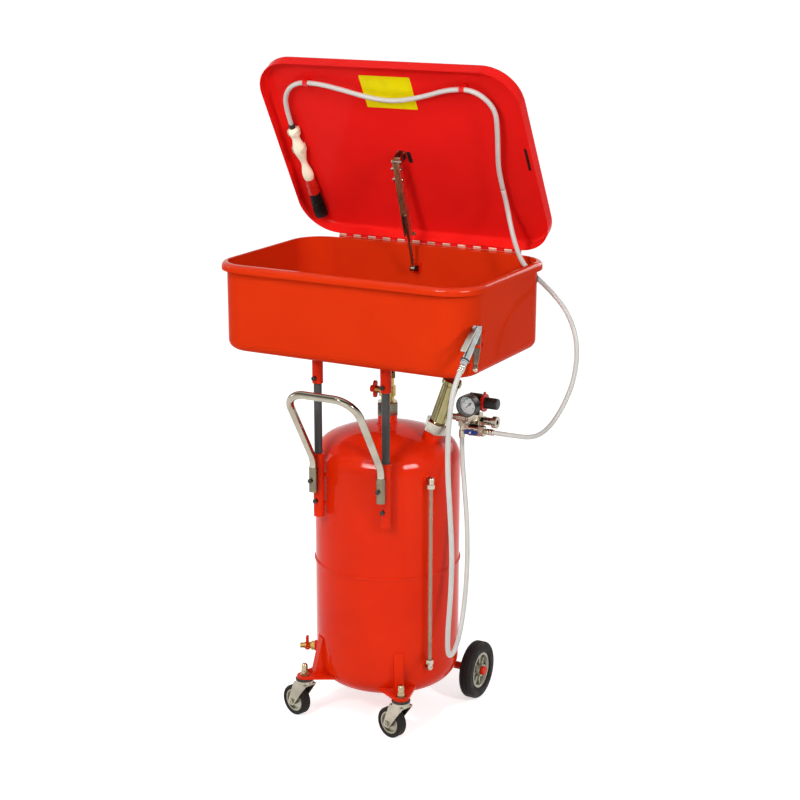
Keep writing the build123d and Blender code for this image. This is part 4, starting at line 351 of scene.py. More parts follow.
def enamel(name, colour, shade, gloss=0.05, dust=0.03, shine=0.07, rim=None):
    """Sprayed gloss enamel: cloudy tint, fine peel, dull rubs and a little dust on top.

    Its shine is the shader's specular level. A rim is a height and the shine that the enamel has above it.
    """
    made, tree, shader = finish_base(name)
    patch = use(tree, MOTTLE, Scale=7.0)["Patch"]
    rubs = use(tree, RUBS, Scale=24.0, Level=0.68)["Mask"]
    settled = use(tree, DUST, Amount=dust, Scale=18.0)["Mask"]
    tint = blend_colours(tree, patch, colour, shade)
    tint = blend_colours(tree, settled, tint, PALE_DUST)
    tree.links.new(tint, shader.inputs["Base Color"])
    dull = math_node(tree, "MAXIMUM", rubs, settled)
    tree.links.new(ranged(tree, dull, gloss, gloss + DULLED), shader.inputs["Roughness"])
    if rim:
        place = own_place(tree)
        up = add_node(tree, "ShaderNodeSeparateXYZ", {"Vector": place}).outputs["Z"]
        height, rim_shine = rim
        level = ranged(tree, up, shine, rim_shine, height, height + RIM_FADE)
        tree.links.new(level, shader.inputs["Specular IOR Level"])
    else:
        shader.inputs["Specular IOR Level"].default_value = shine
    bump(tree, shader, use(tree, PEEL, Scale=230.0)["Height"], strength=0.03, distance=0.002)
    return made


def plated(name, colour, shade, low, high, lines=220.0, along_z=0.06, strength=0.05, dark=None):
    """Plated or bare metal: drawn lines and cloudy tarnish in its gloss and, if it has a dark colour, a painted
    reflection of a dark horizon in its colour.
    """
    made, tree, shader = finish_base(name)
    patch = use(tree, MOTTLE, Scale=22.0)["Patch"]
    line = use(tree, DRAWN, Scale=lines, **{"Along Z": along_z})["Line"]
    tint = blend_colours(tree, patch, colour, shade)
    if dark:
        # The dark colour is painted into the base colour by the slope of the surface, as a reflection of a dark
        # horizon
        painted_reflection_band = use(tree, PAINTED_HORIZON_REFLECTION, Height=0.5, Width=0.34)["Painted Reflection"]
        tint = blend_colours(tree, painted_reflection_band, tint, dark)
    tree.links.new(tint, shader.inputs["Base Color"])
    shader.inputs["Metallic"].default_value = 1.0
    worn = math_node(tree, "MULTIPLY", line, math_node(tree, "ADD", patch, 0.5))
    tree.links.new(ranged(tree, worn, low, high, 0.1, 0.9), shader.inputs["Roughness"])
    bump(tree, shader, line, strength, distance=0.001)
    return made


def moulded(name, colour, shade, low, high, grain=900.0, strength=0.06, shine=0.3):
    """Moulded plastic or rubber: fine grain, cloudy tint and settled dust."""
    made, tree, shader = finish_base(name)
    patch = use(tree, MOTTLE, Scale=40.0)["Patch"]
    settled = use(tree, DUST, Amount=0.06, Scale=60.0)["Mask"]
    tint = blend_colours(tree, patch, colour, shade)
    tint = blend_colours(tree, settled, tint, GREY_DUST)
    tree.links.new(tint, shader.inputs["Base Color"])
    tree.links.new(ranged(tree, patch, low, high), shader.inputs["Roughness"])
    shader.inputs["Specular IOR Level"].default_value = shine
    bump(tree, shader, use(tree, PEEL, Scale=grain)["Height"], strength, distance=0.001)
    return made


def parted(name, way, level, beyond, before):
    """Two finishes on one piece, parted by a plane: one where way . place is above a level, one below it.

    Each finish is its colour, how metallic it is and how rough.
    """
    made, tree, shader = finish_base(name)
    place = own_place(tree)
    along = add_node(tree, "ShaderNodeVectorMath", {0: place, 1: way}, operation="DOT_PRODUCT").outputs["Value"]
    side = ranged(tree, along, 0.0, 1.0, level - PARTING, level + PARTING)
    patch = use(tree, MOTTLE, Scale=45.0)["Patch"]
    colours, metal, rough = zip(before, beyond)
    tints = [blend_colours(tree, patch, colour, darker(colour, 0.7)) for colour in colours]
    tree.links.new(blend_colours(tree, side, *tints), shader.inputs["Base Color"])
    if metal[0] == metal[1]:
        shader.inputs["Metallic"].default_value = metal[0]
    else:
        tree.links.new(ranged(tree, side, *metal), shader.inputs["Metallic"])
    tree.links.new(ranged(tree, side, *rough), shader.inputs["Roughness"])
    shader.inputs["Specular IOR Level"].default_value = 0.3
    return made


def braided_hose():
    """Milky hose over a woven braid: two sets of slanting threads on the tube's own UV map."""
    made, tree, shader = finish_base("braided_hose")
    place = tree.nodes.new("ShaderNodeUVMap")
    place.uv_map = "UVMap"
    split = add_node(tree, "ShaderNodeSeparateXYZ", {0: place.outputs[0]})
    along = math_node(tree, "MULTIPLY", split.outputs[0], 2 * math.pi / BRAID_PITCH)
    around = math_node(tree, "MULTIPLY", split.outputs[1], 2 * math.pi * BRAID_STARTS)
    one = math_node(tree, "SINE", math_node(tree, "ADD", along, around))
    other = math_node(tree, "SINE", math_node(tree, "SUBTRACT", along, around))
    thread = ranged(tree, math_node(tree, "MAXIMUM", one, other), 0.0, 1.0, 0.55, 0.98)
    patch = use(tree, MOTTLE, Scale=30.0)["Patch"]
    milky = blend_colours(tree, patch, (0.49, 0.47, 0.43), (0.43, 0.41, 0.37))
    tint = blend_colours(tree, thread, milky, (0.66, 0.66, 0.64))
    tree.links.new(tint, shader.inputs["Base Color"])
    shader.inputs["Roughness"].default_value = 0.28
    shader.inputs["Subsurface Weight"].default_value = 0.15
    shader.inputs["Subsurface Radius"].default_value = (0.003, 0.003, 0.003)
    shader.inputs["Specular IOR Level"].default_value = 0.4
    bump(tree, shader, thread, strength=0.25, distance=0.0006)
    return made


def see_through(name, colour, cover):
    """Clear or tinted plastic: a faintly clouded film that covers a share of what lies behind it."""
    made, tree, shader = finish_base(name)
    patch = use(tree, MOTTLE, Scale=60.0)["Patch"]
    tint = blend_colours(tree, patch, colour, darker(colour, 0.85))
    tree.links.new(tint, shader.inputs["Base Color"])
    shader.inputs["Alpha"].default_value = cover
    shader.inputs["Roughness"].default_value = 0.06
    return made


# Colours are in linear light. Each row gives a colour and the shade it clouds to. Metals and plastics then give their
# least and greatest roughness, and some plastics the scale and the strength of their grain.
RED = enamel("red_enamel", (0.68, 0.023, 0.002), (0.64, 0.019, 0.002), shine=0.06)
SINK_COLOUR = (0.61, 0.031, 0.004)
SINK_RED = enamel("sink_enamel", SINK_COLOUR, (0.585, 0.028, 0.004), shine=0.007, rim=(1.176, 0.12))
# The lid's copy of the red enamel is paler and less orange than the sink's: painted light and painted shade, for how
# the light falls on the lid
LID_PAINTED_LIGHT_RED = enamel("lid_enamel_painted_light", (0.80, 0.013, 0.010), (0.76, 0.012, 0.010), dust=0.012, shine=0.018)
GREY = enamel("grey_enamel", (0.072, 0.070, 0.066), (0.054, 0.052, 0.050), gloss=0.3)
# Bright drawn bars have long, faint lines
SMOOTH = {"lines": 160.0, "along_z": 0.2, "strength": 0.01}
# The dark colour of the painted horizon reflection on the bright chrome
CHROME_PAINTED_REFLECTION = (0.035, 0.028, 0.022)
CHROME = plated("bright_chrome", (0.40, 0.37, 0.30), (0.32, 0.29, 0.23), 0.05, 0.15, dark=CHROME_PAINTED_REFLECTION, **SMOOTH)
NUT_CHROME = plated("nut_chrome", (0.50, 0.48, 0.41), (0.38, 0.36, 0.30), 0.1, 0.25)
YELLOW_ZINC = plated("yellow_zinc", (0.27, 0.235, 0.115), (0.19, 0.16, 0.075), 0.08, 0.2, **SMOOTH)
CAP_ZINC = plated("cap_nut_zinc", (0.42, 0.33, 0.20), (0.32, 0.24, 0.14), 0.12, 0.3)
ZINC = plated("bright_zinc", (0.42, 0.40, 0.33), (0.30, 0.28, 0.22), 0.16, 0.36)
DULL_ZINC = plated("dull_zinc", (0.20, 0.17, 0.115), (0.14, 0.12, 0.085), 0.2, 0.36)
RIM_ZINC = plated("rim_zinc", (0.34, 0.33, 0.26), (0.24, 0.23, 0.18), 0.2, 0.4)
NICKEL = plated("nickel_plate", (0.48, 0.42, 0.34), (0.36, 0.31, 0.24), 0.12, 0.3)
BRASS = plated("turned_brass", (0.50, 0.33, 0.10), (0.36, 0.23, 0.07), 0.14, 0.32)
STAY_STEEL = plated("stay_steel", (0.80, 0.64, 0.46), (0.42, 0.33, 0.23), 0.25, 0.45)
DARK = plated("blackened_steel", (0.060, 0.052, 0.045), (0.034, 0.030, 0.026), 0.22, 0.42)
TYRE = moulded("tyre_rubber", (0.012, 0.010, 0.009), (0.020, 0.017, 0.015), 0.5, 0.75, 500.0, 0.2, shine=0.12)
BLACK = moulded("black_plastic", (0.010, 0.009, 0.008), (0.016, 0.014, 0.013), 0.25, 0.45)
RED_PLASTIC = moulded("red_plastic", (0.56, 0.014, 0.006), (0.46, 0.010, 0.005), 0.25, 0.4)
BLUE = moulded("blue_plastic", (0.016, 0.030, 0.20), (0.012, 0.020, 0.14), 0.25, 0.4)
CREAM = moulded("cream_plastic", (0.92, 0.90, 0.70), (0.88, 0.84, 0.62), 0.3, 0.45, 400.0, 0.03)
DIAL = moulded("dial_white", (0.95, 0.97, 0.97), (0.92, 0.94, 0.94), 0.4, 0.5)
CLEAR = see_through("clear_lens", (0.9, 0.9, 0.9), 0.05)
SIGHT = see_through("tinted_tube", (0.42, 0.34, 0.24), 0.42)
HOSE = braided_hose()
GREEN = moulded("dial_green", (0.02, 0.36, 0.17), (0.02, 0.30, 0.14), 0.4, 0.5, shine=0.1)
YELLOW = moulded("yellow_plate", (0.80, 0.70, 0.003), (0.74, 0.64, 0.003), 0.25, 0.4, 300.0, 0.03, shine=0.06)

# Pieces of two finishes: the gun's bright grip and dark nozzle, the stay's red foot and dark lug, the hinge's
# knuckles, tinted pale pink as a painted highlight, and red leaf, and the lid's red hose clips and cream brush clips
FOOT_Y, KNUCKLE_DROP, CLIPS_X = 191.7, 5.2, -270
GUN_APEX = tank_place(355, -218, 1090)
GUN_SPLIT = (0.0, -0.891, 0.454)
GUN_METAL = parted(
    "gun_metal",
    GUN_SPLIT,
    float(np.dot(GUN_SPLIT, GUN_APEX)),
    ((0.56, 0.58, 0.58), 1.0, 0.12),
    ((0.15, 0.115, 0.085), 1.0, 0.2),
)
FOOT_PAINT = parted(
    "foot_paint",
    (0.0, 1.0, 0.0),
    float(tank_place(0, FOOT_Y, 0)[1]),
    ((0.70, 0.018, 0.002), 0.0, 0.2),
    ((0.07, 0.06, 0.05), 1.0, 0.35),
)
# Zinc knuckles tinted pale pink above the level as a painted highlight, and the red leaf below it
KNUCKLE_PAINTED_HIGHLIGHT = parted(
    "zinc_knuckle_painted_highlight",
    (0.0, 0.0, 1.0),
    float(HINGE[2] - KNUCKLE_DROP / 1000),
    ((0.92, 0.58, 0.44), 1.0, 0.35),
    (SINK_COLOUR, 0.0, 0.2),
)
CLIP_PAINT = parted(
    "clip_paint",
    (1.0, 0.0, 0.0),
    float(tank_place(CLIPS_X, 0, 0)[0]),
    ((0.87, 0.010, 0.008), 0.0, 0.2),
    ((0.84, 0.80, 0.60), 0.0, 0.35),
)

FINISHES = {
    "red_paint": RED,
    "sink_paint": SINK_RED,
    "grey_paint": GREY,
    "chrome": CHROME,
    "zinc": ZINC,
    "nickel": NICKEL,
    "brass": BRASS,
    "dark_steel": DARK,
    "tyre": TYRE,
    "black_plastic": BLACK,
    "red_plastic": RED_PLASTIC,
    "blue_plastic": BLUE,
    "cream": CREAM,
    "dial": DIAL,
    "clear": CLEAR,
    "sight": SIGHT,
    "hose": HOSE,
}
OWN_FINISHES = {
    "lid_panel": LID_PAINTED_LIGHT_RED,
    "lid_clips": CLIP_PAINT,
    "hinge_leaf_lid": LID_PAINTED_LIGHT_RED,
    "hinge_leaf_sink": KNUCKLE_PAINTED_HIGHLIGHT,
    "stay_channel": STAY_STEEL,
    "stay_lid_bracket": NUT_CHROME,
    "gun_trigger": NUT_CHROME,
    "gun_hook": SINK_RED,
    "handle_sleeves": DULL_ZINC,
    "union_nuts": NUT_CHROME,
    "filler_neck": YELLOW_ZINC,
    "filler_cap": YELLOW_ZINC,
    "caster_stems": CAP_ZINC,
    "caster_rim_left": RIM_ZINC,
    "caster_rim_right": RIM_ZINC,
    "rear_rim_left": RIM_ZINC,
    "rear_rim_right": RIM_ZINC,
    "gun_body": GUN_METAL,
    "stay_sink_bracket": FOOT_PAINT,
}

# Each solid takes its own finish if it has one, and its slot's if not
for entry in frame["record"]["subparts"]:
    name = entry["node"]
    finish = OWN_FINISHES.get(name, FINISHES[entry["material_slot"]])
    for slot in nodes[name].material_slots:
        slot.material = finish


# Hoses


def spline_points(name, controls):
    """Points along the NURBS curve of order three that has these control points."""
    curve = bpy.data.curves.new(name, "CURVE")
    curve.dimensions = "3D"
    curve.resolution_u = 12
    spline = curve.splines.new("NURBS")
    spline.points.add(len(controls) - 1)
    spline.points.foreach_set("co", np.c_[controls, np.ones(len(controls))].ravel())
    spline.order_u = 3
    spline.use_endpoint_u = True
    line = mesh_of_curve(name, curve)
    points = np.empty(3 * len(line.vertices), np.float32)
    line.vertices.foreach_get("co", points)
    bpy.data.meshes.remove(line)
    return points.reshape(-1, 3).astype(float)


def frames_along(points):
    """Two unit directions square to a path: S = T x N and T x S, with the normal N of the plane that fits it best."""
    tangent = np.gradient(points, axis=0)
    tangent /= np.linalg.norm(tangent, axis=1, keepdims=True)
    flat = np.linalg.svd(points - points.mean(axis=0))[2][2]
    side = np.cross(tangent, flat)
    side /= np.linalg.norm(side, axis=1, keepdims=True)
    return side, np.cross(tangent, side)


def tube(name, points, radius):
    """A round tube: centre + r cos a S + r sin a (T x S) along a path, with length and turn as its UV map."""
    sides = 16
    side, other = frames_along(points)
    angle = np.linspace(0, 2 * math.pi, sides, endpoint=False)
    ring = np.cos(angle)[None, :, None] * side[:, None] + np.sin(angle)[None, :, None] * other[:, None]
    grid = points[:, None] + radius * ring
    steps = np.linalg.norm(np.diff(points, axis=0), axis=1)
    length = np.r_[0.0, np.cumsum(steps)]
    mesh = surface(name, grid, wrap_v=True, uv=(length, np.arange(sides + 1) / sides), caps=True)
    return mesh, float(length[-1])


def hose(name, node, controls, body, blend_to=None):
    """A hose that replaces its plain solid and follows the same route on one smooth curve.

    blend_to, when given, leaves the hose on no body and bakes its place into its mesh; the body and the two places
    that it holds are not used.
    """
    points = spline_points(name, np.array(controls))
    mesh, length = tube(name, points, HOSE_RADIUS)
    piece = show(name, mesh, None if blend_to else body, HOSE)
    if blend_to:
        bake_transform(piece)
    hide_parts(node)


# The routes of the hoses, each with a straight run out of its fittings
HOSE_RUN = 0.046
GRIP_LEAN = math.radians(47.5)
GRIP_WAY = np.array([0.0, -math.sin(GRIP_LEAN), -math.cos(GRIP_LEAN)])
GRIP_LENGTH = 0.106
hose(
    "blow_gun_hose",
    "gun_hose",
    [
        GUN_APEX + GRIP_LENGTH * GRIP_WAY,
        GUN_APEX + (GRIP_LENGTH + HOSE_RUN) * GRIP_WAY,
        tank_place(354, -346, 946),
        tank_place(344, -340, 876),
        tank_place(338, -330, 786),
        tank_place(342, -322, 675),
        tank_place(346, -317, 570),
        tank_place(339, -309, 464),
        tank_place(326, -297, 368),
        tank_place(309, -262, 293),
        tank_place(297, -212, 274),
        tank_place(287, -160, 291),
        tank_place(277, -112, 353),
        tank_place(269, -80, 446),
        tank_place(257, -58, 547),
        tank_place(236, -34, 638),
        tank_place(210, 0, 718),
        tank_place(210, 0, 768),
    ],
    "washer",
)

HOLE_ANGLE = math.radians(27)
CORNER_X, CORNER_Y, CORNER_RADIUS = 264, 118, 78
HOLE = tank_place(
    CORNER_X + CORNER_RADIUS * math.cos(HOLE_ANGLE),
    CORNER_Y + CORNER_RADIUS * math.sin(HOLE_ANGLE),
    1142,
)
HOLE_WAY = np.array([0.72, 0.25, -0.65])
HOLE_WAY /= np.linalg.norm(HOLE_WAY)
hose(
    "brush_hose_below",
    "brush_hose_outside",
    [
        tank_place(304, -34, 792),
        tank_place(358, -34, 792),
        tank_place(402, 4, 781),
        tank_place(418, 60, 795),
        tank_place(436, 104, 844),
        tank_place(451, 131, 910),
        tank_place(448, 150, 991),
        tank_place(418, 160, 1060),
        HOLE + HOSE_RUN * HOLE_WAY,
        HOLE,
    ],
    "washer",
)

FLEX_X = 247
FLEX_TOP = lid_mm(FLEX_X, 183)
BLEND_FROM = HOLE - 0.02 * HOLE_WAY
BLEND_TO = lid_mm(FLEX_X, 145)
hose(
    "brush_hose_bend",
    "brush_hose_flex",
    [
        HOLE,
        HOLE - 0.044 * HOLE_WAY,
        tank_place(280, 143, 1215),
        tank_place(260, 152, 1266),
        lid_mm(FLEX_X, 135),
        FLEX_TOP,
    ],
    "washer",
    blend_to=("lid", tuple(BLEND_FROM), tuple(BLEND_TO)),
)
hose(
    "brush_hose_above",
    "brush_hose_lid",
    [
        FLEX_TOP,
        lid_mm(FLEX_X, 236),
        lid_mm(260, 300, 2),
        lid_mm(272, 358, 2),
        lid_mm(280, 422),
        lid_mm(239, 470),
        lid_mm(172, 470),
        lid_mm(92, 443, 1),
        lid_mm(12, 426, 2),
        lid_mm(-58, 434, 2),
        lid_mm(-125, 452, 1),
        lid_mm(-190, 466),
        lid_mm(-256, 466),
        lid_mm(-296, 428, 1),
        lid_mm(BRUSH_X, BRUSH_TOP + 50),
        lid_mm(BRUSH_X, BRUSH_TOP),
    ],
    "lid",
)


# Turned, swept and stamped pieces


def welded(mesh):
    """Joins points that lie on each other and turns every face outwards."""
    cage = bmesh.new()
    cage.from_mesh(mesh)
    bmesh.ops.remove_doubles(cage, verts=cage.verts, dist=1e-6)
    bmesh.ops.recalc_face_normals(cage, faces=cage.faces)
    cage.to_mesh(mesh)
    cage.free()
    return mesh


def square_pair(axis):
    """A unit axis, and two unit directions square to it and to each other."""
    axis = np.asarray(axis, float) / np.linalg.norm(axis)
    helper = UP if abs(axis[2]) < 0.9 else ACROSS
    first = np.cross(helper, axis)
    first /= np.linalg.norm(first)
    return axis, first, np.cross(axis, first)


def turned(name, profile, origin, axis, sides=40, shape=None):
    """A turned shape: origin + h A + r k(a) (cos a E + sin a F) for each (r, h) of its profile.

    shape gives k, the radius round the axis, for a form that isn't round, such as a hexagon.
    """
    axis, first, second = square_pair(axis)
    radius, height = np.asarray(profile, float).T
    angle = np.linspace(0, 2 * math.pi, sides, endpoint=False)
    around = np.cos(angle)[:, None] * first + np.sin(angle)[:, None] * second
    if shape is not None:
        around = around * shape(angle)[:, None]
    grid = np.asarray(origin) + height[:, None, None] * axis + radius[:, None, None] * around[None]
    return welded(surface(name, grid, wrap_v=True, caps=True))


def hexagon(angle):
    """Distance to a hexagon's side, 1 at its corners: cos 30 / cos of the angle from the side's middle."""
    turn = (angle % (math.pi / 3)) - math.pi / 6
    return math.cos(math.pi / 6) / np.cos(turn)


def hex_head(name, place, axis, corner, height, stub, body, finish):
    """A hexagon head with a chamfered top, and the end of its screw that stands out of it."""
    profile = [(corner, 0), (corner, 0.8 * height), (0.86 * corner, height)]
    profile += [(0.5 * corner, height), (0.5 * corner, height + 0.8 * stub), (0.42 * corner, height + stub)]
    mesh = turned(name, profile, place, axis, sides=48, shape=hexagon)
    mesh.polygons.foreach_set("use_smooth", [False] * len(mesh.polygons))
    show(name, mesh, body, finish)


def ring_path(middle, axis, radius, count):
    """Points of a circle about an axis."""
    axis, first, second = square_pair(axis)
    angle = np.linspace(0, 2 * math.pi, count, endpoint=False)
    return np.asarray(middle) + radius * (np.cos(angle)[:, None] * first + np.sin(angle)[:, None] * second)


def round_bead(name, points, radius, ripple=0.0, ripples=0):
    """A closed bead along a ring: its radius swells as 1 + ripple sin(n s), as a weld's does."""
    sides = 10
    ahead = np.roll(points, -1, axis=0) - np.roll(points, 1, axis=0)
    tangent = ahead / np.linalg.norm(ahead, axis=1, keepdims=True)
    outward = points - points.mean(axis=0)
    outward -= np.sum(outward * tangent, axis=1, keepdims=True) * tangent
    outward /= np.linalg.norm(outward, axis=1, keepdims=True)
    other = np.cross(tangent, outward)
    angle = np.linspace(0, 2 * math.pi, sides, endpoint=False)
    phase = np.linspace(0, 2 * math.pi, len(points), endpoint=False)
    swell = radius * (1 + ripple * np.sin(ripples * phase))
    ring = np.cos(angle)[None, :, None] * outward[:, None] + np.sin(angle)[None, :, None] * other[:, None]
    grid = points[:, None] + swell[:, None, None] * ring
    return welded(surface(name, grid, wrap_u=True, wrap_v=True))


def rounded_outline(low_x, low_y, high_x, high_y, corner):
    """The points of a rectangle with round corners, counter-clockwise: eight on each corner's quarter circle."""
    angle = np.linspace(0, math.pi / 2, 8)
    middles = ((high_x, high_y, 0), (low_x, high_y, 1), (low_x, low_y, 2), (high_x, low_y, 3))
    inward = ((-1, -1), (1, -1), (1, 1), (-1, 1))
    parts = []
    for (x, y, quarter), (side_x, side_y) in zip(middles, inward):
        turn = angle + quarter * math.pi / 2
        parts.append(np.c_[x + corner * (side_x + np.cos(turn)), y + corner * (side_y + np.sin(turn))])
    return np.concatenate(parts)


def lid_plate(name, outline, out, thickness, finish):
    """A thin plate on the lid: its outline raised by its thickness, with a small bevel."""
    inset, straight = 0.006, 0.7
    middle = outline.mean(axis=0)
    inner = middle + (outline - middle) * (1 - inset)
    rings = [(outline, out), (outline, out + straight * thickness), (inner, out + thickness)]
    grid = np.stack([lid_place(line[:, 0], line[:, 1], np.full(len(line), level)) for line, level in rings])
    show(name, welded(surface(name, grid, wrap_v=True, caps=True)), "lid", finish)


# Brush


def brush_bristles():
    """Hundreds of bent strands, each a thin prism: roots on a sunflower spiral, and tips spread outwards."""
    count = 760
    sides = 3
    root_radius = 0.0140
    root_up = (BRUSH_TOP - BRUSH_HANDLE - BRUSH_FERRULE) / 1000
    length = 0.078
    k = np.arange(count)
    spread = root_radius * np.sqrt((k + 0.5) / count)
    turn = k * math.pi * (3 - math.sqrt(5))
    across = spread * np.cos(turn)
    out = spread * np.sin(turn)
    bow = rng.normal(0, 0.0008, (count, 2))
    reach = length * (1 - 0.03 * rng.random(count) - 0.05 * (spread / root_radius) ** 2)
    level = np.array([0.0, 0.35, 0.7, 1.0])
    thick = np.array([0.00042, 0.00042, 0.00038, 0.0002])
    fan = 1 + 0.26 * level**0.7
    middle_x = across[:, None] * fan + bow[:, :1] * level**2
    middle_out = 0.9 * out[:, None] * fan + bow[:, 1:] * level**2
    middle_up = root_up - reach[:, None] * level
    ring = np.arange(sides)
    angle = ring * 2 * math.pi / sides
    x = BRUSH_X / 1000 + middle_x[..., None] + thick[None, :, None] * np.cos(angle)
    lift = HOSE_LIFT + middle_out[..., None] + thick[None, :, None] * np.sin(angle)
    up = np.broadcast_to(middle_up[..., None], x.shape)
    last = len(level) - 1
    first_point = k * len(level) * sides
    row = np.arange(last)[:, None] * sides
    after = (ring + 1) % sides
    quad = np.stack([row + ring, row + after, row + sides + after, row + sides + ring], axis=-1)
    faces = (first_point[:, None, None] + quad.reshape(1, -1, 4)).reshape(-1, 4).tolist()
    faces += (first_point[:, None] + last * sides + ring).tolist()
    mesh = mesh_of("bristle_tuft", lid_place(x, up, lift), faces)
    mesh.polygons.foreach_set("use_smooth", [True] * len(faces))
    tuft = show("bristle_tuft", welded(mesh), "lid", BLACK)
    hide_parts("brush_bristles")


# Gauge dial


def dial_marks():
    """Ticks on a circle, long at every fifth, a coloured arc and plain numbers, just in front of the dial."""
    middle = tank_place(246, -33.55, 854)
    zero = math.radians(225)
    sweep = math.radians(270)
    marks = 50
    tick_outer, number_radius = 0.0222, 0.0128
    arc_inner, arc_outer = 0.0150, 0.0172
    numbers = 6

    def on_dial(radius, angle):
        """A place on the dial by radius and angle, seen from the front."""
        radius, angle = np.broadcast_arrays(radius, angle)
        return middle + np.stack([radius * np.cos(angle), np.zeros_like(angle), radius * np.sin(angle)], axis=-1)

    steps = np.arange(marks + 1)
    angle = zero - sweep * steps / marks
    long = steps % 5 == 0
    inner = np.where(long, 0.0182, 0.0200)
    half = np.where(long, 0.00042, 0.00022)
    turn = half / 0.019
    rounds = ((inner, -turn), (tick_outer, -turn), (tick_outer, turn), (inner, turn))
    corners = np.stack([on_dial(radius, angle + aside) for radius, aside in rounds], axis=1)
    faces = np.arange(4 * len(steps)).reshape(-1, 4).tolist()
    show("dial_ticks", mesh_of("dial_ticks", corners, faces), "washer", BLACK)
    arc = np.linspace(zero - 0.18 * sweep, zero - 0.5 * sweep, 40)
    grid = np.stack([on_dial(arc_inner, arc), on_dial(arc_outer, arc)])
    show("dial_arc", surface("dial_arc", grid), "washer", GREEN)
    for index in range(numbers):
        words = bpy.data.curves.new("dial_number", "FONT")
        words.body = str(2 * index)
        words.size = 0.0052
        words.align_x = "CENTER"
        words.align_y = "CENTER"
        mesh = mesh_of_curve("dial_number", words)
        place = on_dial(number_radius, zero - sweep * index / (numbers - 1))
        mesh.transform(Matrix.Translation(Vector(place)) @ Matrix.Rotation(math.pi / 2, 4, "X"))
        show(f"dial_number_{2 * index}", mesh, "washer", BLACK)


# Ferrules, rivets, nuts and welds

SEAL_RADIUS, SEAL_BEAD = 0.0096, 0.0022


def ferrule(name, place, way, radius, length, body, finish):
    """A crimped sleeve on a hose's end: a turned plug with two shallow grooves."""
    share = np.array([0.0, 0.06, 0.28, 0.34, 0.40, 0.62, 0.68, 0.74, 0.94, 1.0])
    swell = np.array([0.88, 1.0, 1.0, 0.9, 1.0, 1.0, 0.9, 1.0, 1.0, 0.88])
    profile = np.c_[radius * swell, length * share]
    show(name, turned(name, profile, place, way), body, finish)


def dome(name, place, way, radius, height, body, finish):
    """A domed head: a short rim, then a quarter of an ellipse up to its pole."""
    angle = np.linspace(0, math.pi / 2, 8)
    curve = np.c_[radius * np.cos(angle), 0.25 * height + 0.75 * height * np.sin(angle)]
    profile = np.r_[[[radius, 0.0]], curve]
    show(name, turned(name, profile, place, way, sides=28), body, finish)


def soft_block(name, middle, half, body, finish):
    """A block with round edges: a sphere whose sines and cosines are raised to a small power."""
    power = 0.35
    tilt = np.linspace(-math.pi / 2, math.pi / 2, 17)[:, None]
    turn = np.linspace(0, 2 * math.pi, 32, endpoint=False)[None]

    def bent(value):
        """Keeps the sign and raises the size to the power."""
        return np.sign(value) * np.abs(value) ** power

    x = bent(np.cos(tilt)) * bent(np.cos(turn))
    y = bent(np.cos(tilt)) * bent(np.sin(turn))
    z = bent(np.sin(tilt)) * np.ones_like(turn)
    grid = np.asarray(middle) + np.stack([x, y, z], axis=-1) * np.asarray(half)
    show(name, welded(surface(name, grid, wrap_v=True, caps=True)), body, finish)


def boss_weld(name, azimuth, height, radius):
    """A weld bead where a round boss meets the tank: a circle laid on the tank's own round wall."""
    angle = np.linspace(0, 2 * math.pi, 72, endpoint=False)
    aside = radius * np.cos(angle)
    out = np.sqrt(TANK_RADIUS**2 - aside**2)
    c, s = math.cos(math.radians(azimuth)), math.sin(math.radians(azimuth))
    points = TANK_AXIS + np.stack([out * c - aside * s, out * s + aside * c, height + radius * np.sin(angle)], axis=1)
    show(name, round_bead(name, points, 0.0019, 0.18, 26), "washer", RED)


def lid_fittings():
    """The bare plate on the lid; a black strip behind the lid's slot, which paints the shade in the slot; and a black
    mark beside the stay, which paints the reflection of the stay channel's dark end.
    """
    behind = 0.0032
    plate = rounded_outline(-0.080, 0.391, 0.059, 0.483, 0.003)
    lid_plate("lid_plate", plate, LID_INSIDE, 0.0005, YELLOW)
    # A black sheet behind the lid's slot: painted shade in the slot
    strip = rounded_outline(0.3135, 0.2240, 0.3295, 0.3020, 0.004)
    lid_plate("slot_painted_shade", strip, LID_INSIDE - behind, 0.0012, BLACK)
    # A black mark on the lid beside the stay: a painted reflection of the stay channel's dark end
    stay_painted_reflection = rounded_outline(-0.0080, 0.2290, 0.0034, 0.2620, 0.003)
    lid_plate("stay_painted_reflection", stay_painted_reflection, LID_INSIDE, 0.0006, BLACK)


def stay_fittings():
    """Bolts on the stay's channel and heads on its pin."""
    stay_x = -0.022
    channel_half, pin_half = 0.009, 0.0113
    top = lid_place(stay_x, 0.253, 0.002)
    foot = HINGE + np.array([stay_x, -0.038, -0.064])
    way = (foot - top) / np.linalg.norm(foot - top)
    for index, distance in enumerate((0.020, 0.048)):
        spot = top + distance * way
        bolt, rivet = f"stay_bolt_{index}", f"stay_rivet_{index}"
        left, right = spot - channel_half * ACROSS, spot + channel_half * ACROSS
        hex_head(bolt, left, -ACROSS, 0.0068, 0.005, 0.005, "stay channel", NUT_CHROME)
        dome(rivet, right, ACROSS, 0.0042, 0.0022, "stay channel", ZINC)
    for side, word in ((-1, "left"), (1, "right")):
        spot = top + side * pin_half * ACROSS
        dome(f"stay_pin_{word}", spot, side * ACROSS, 0.0044, 0.0028, "lid", ZINC)


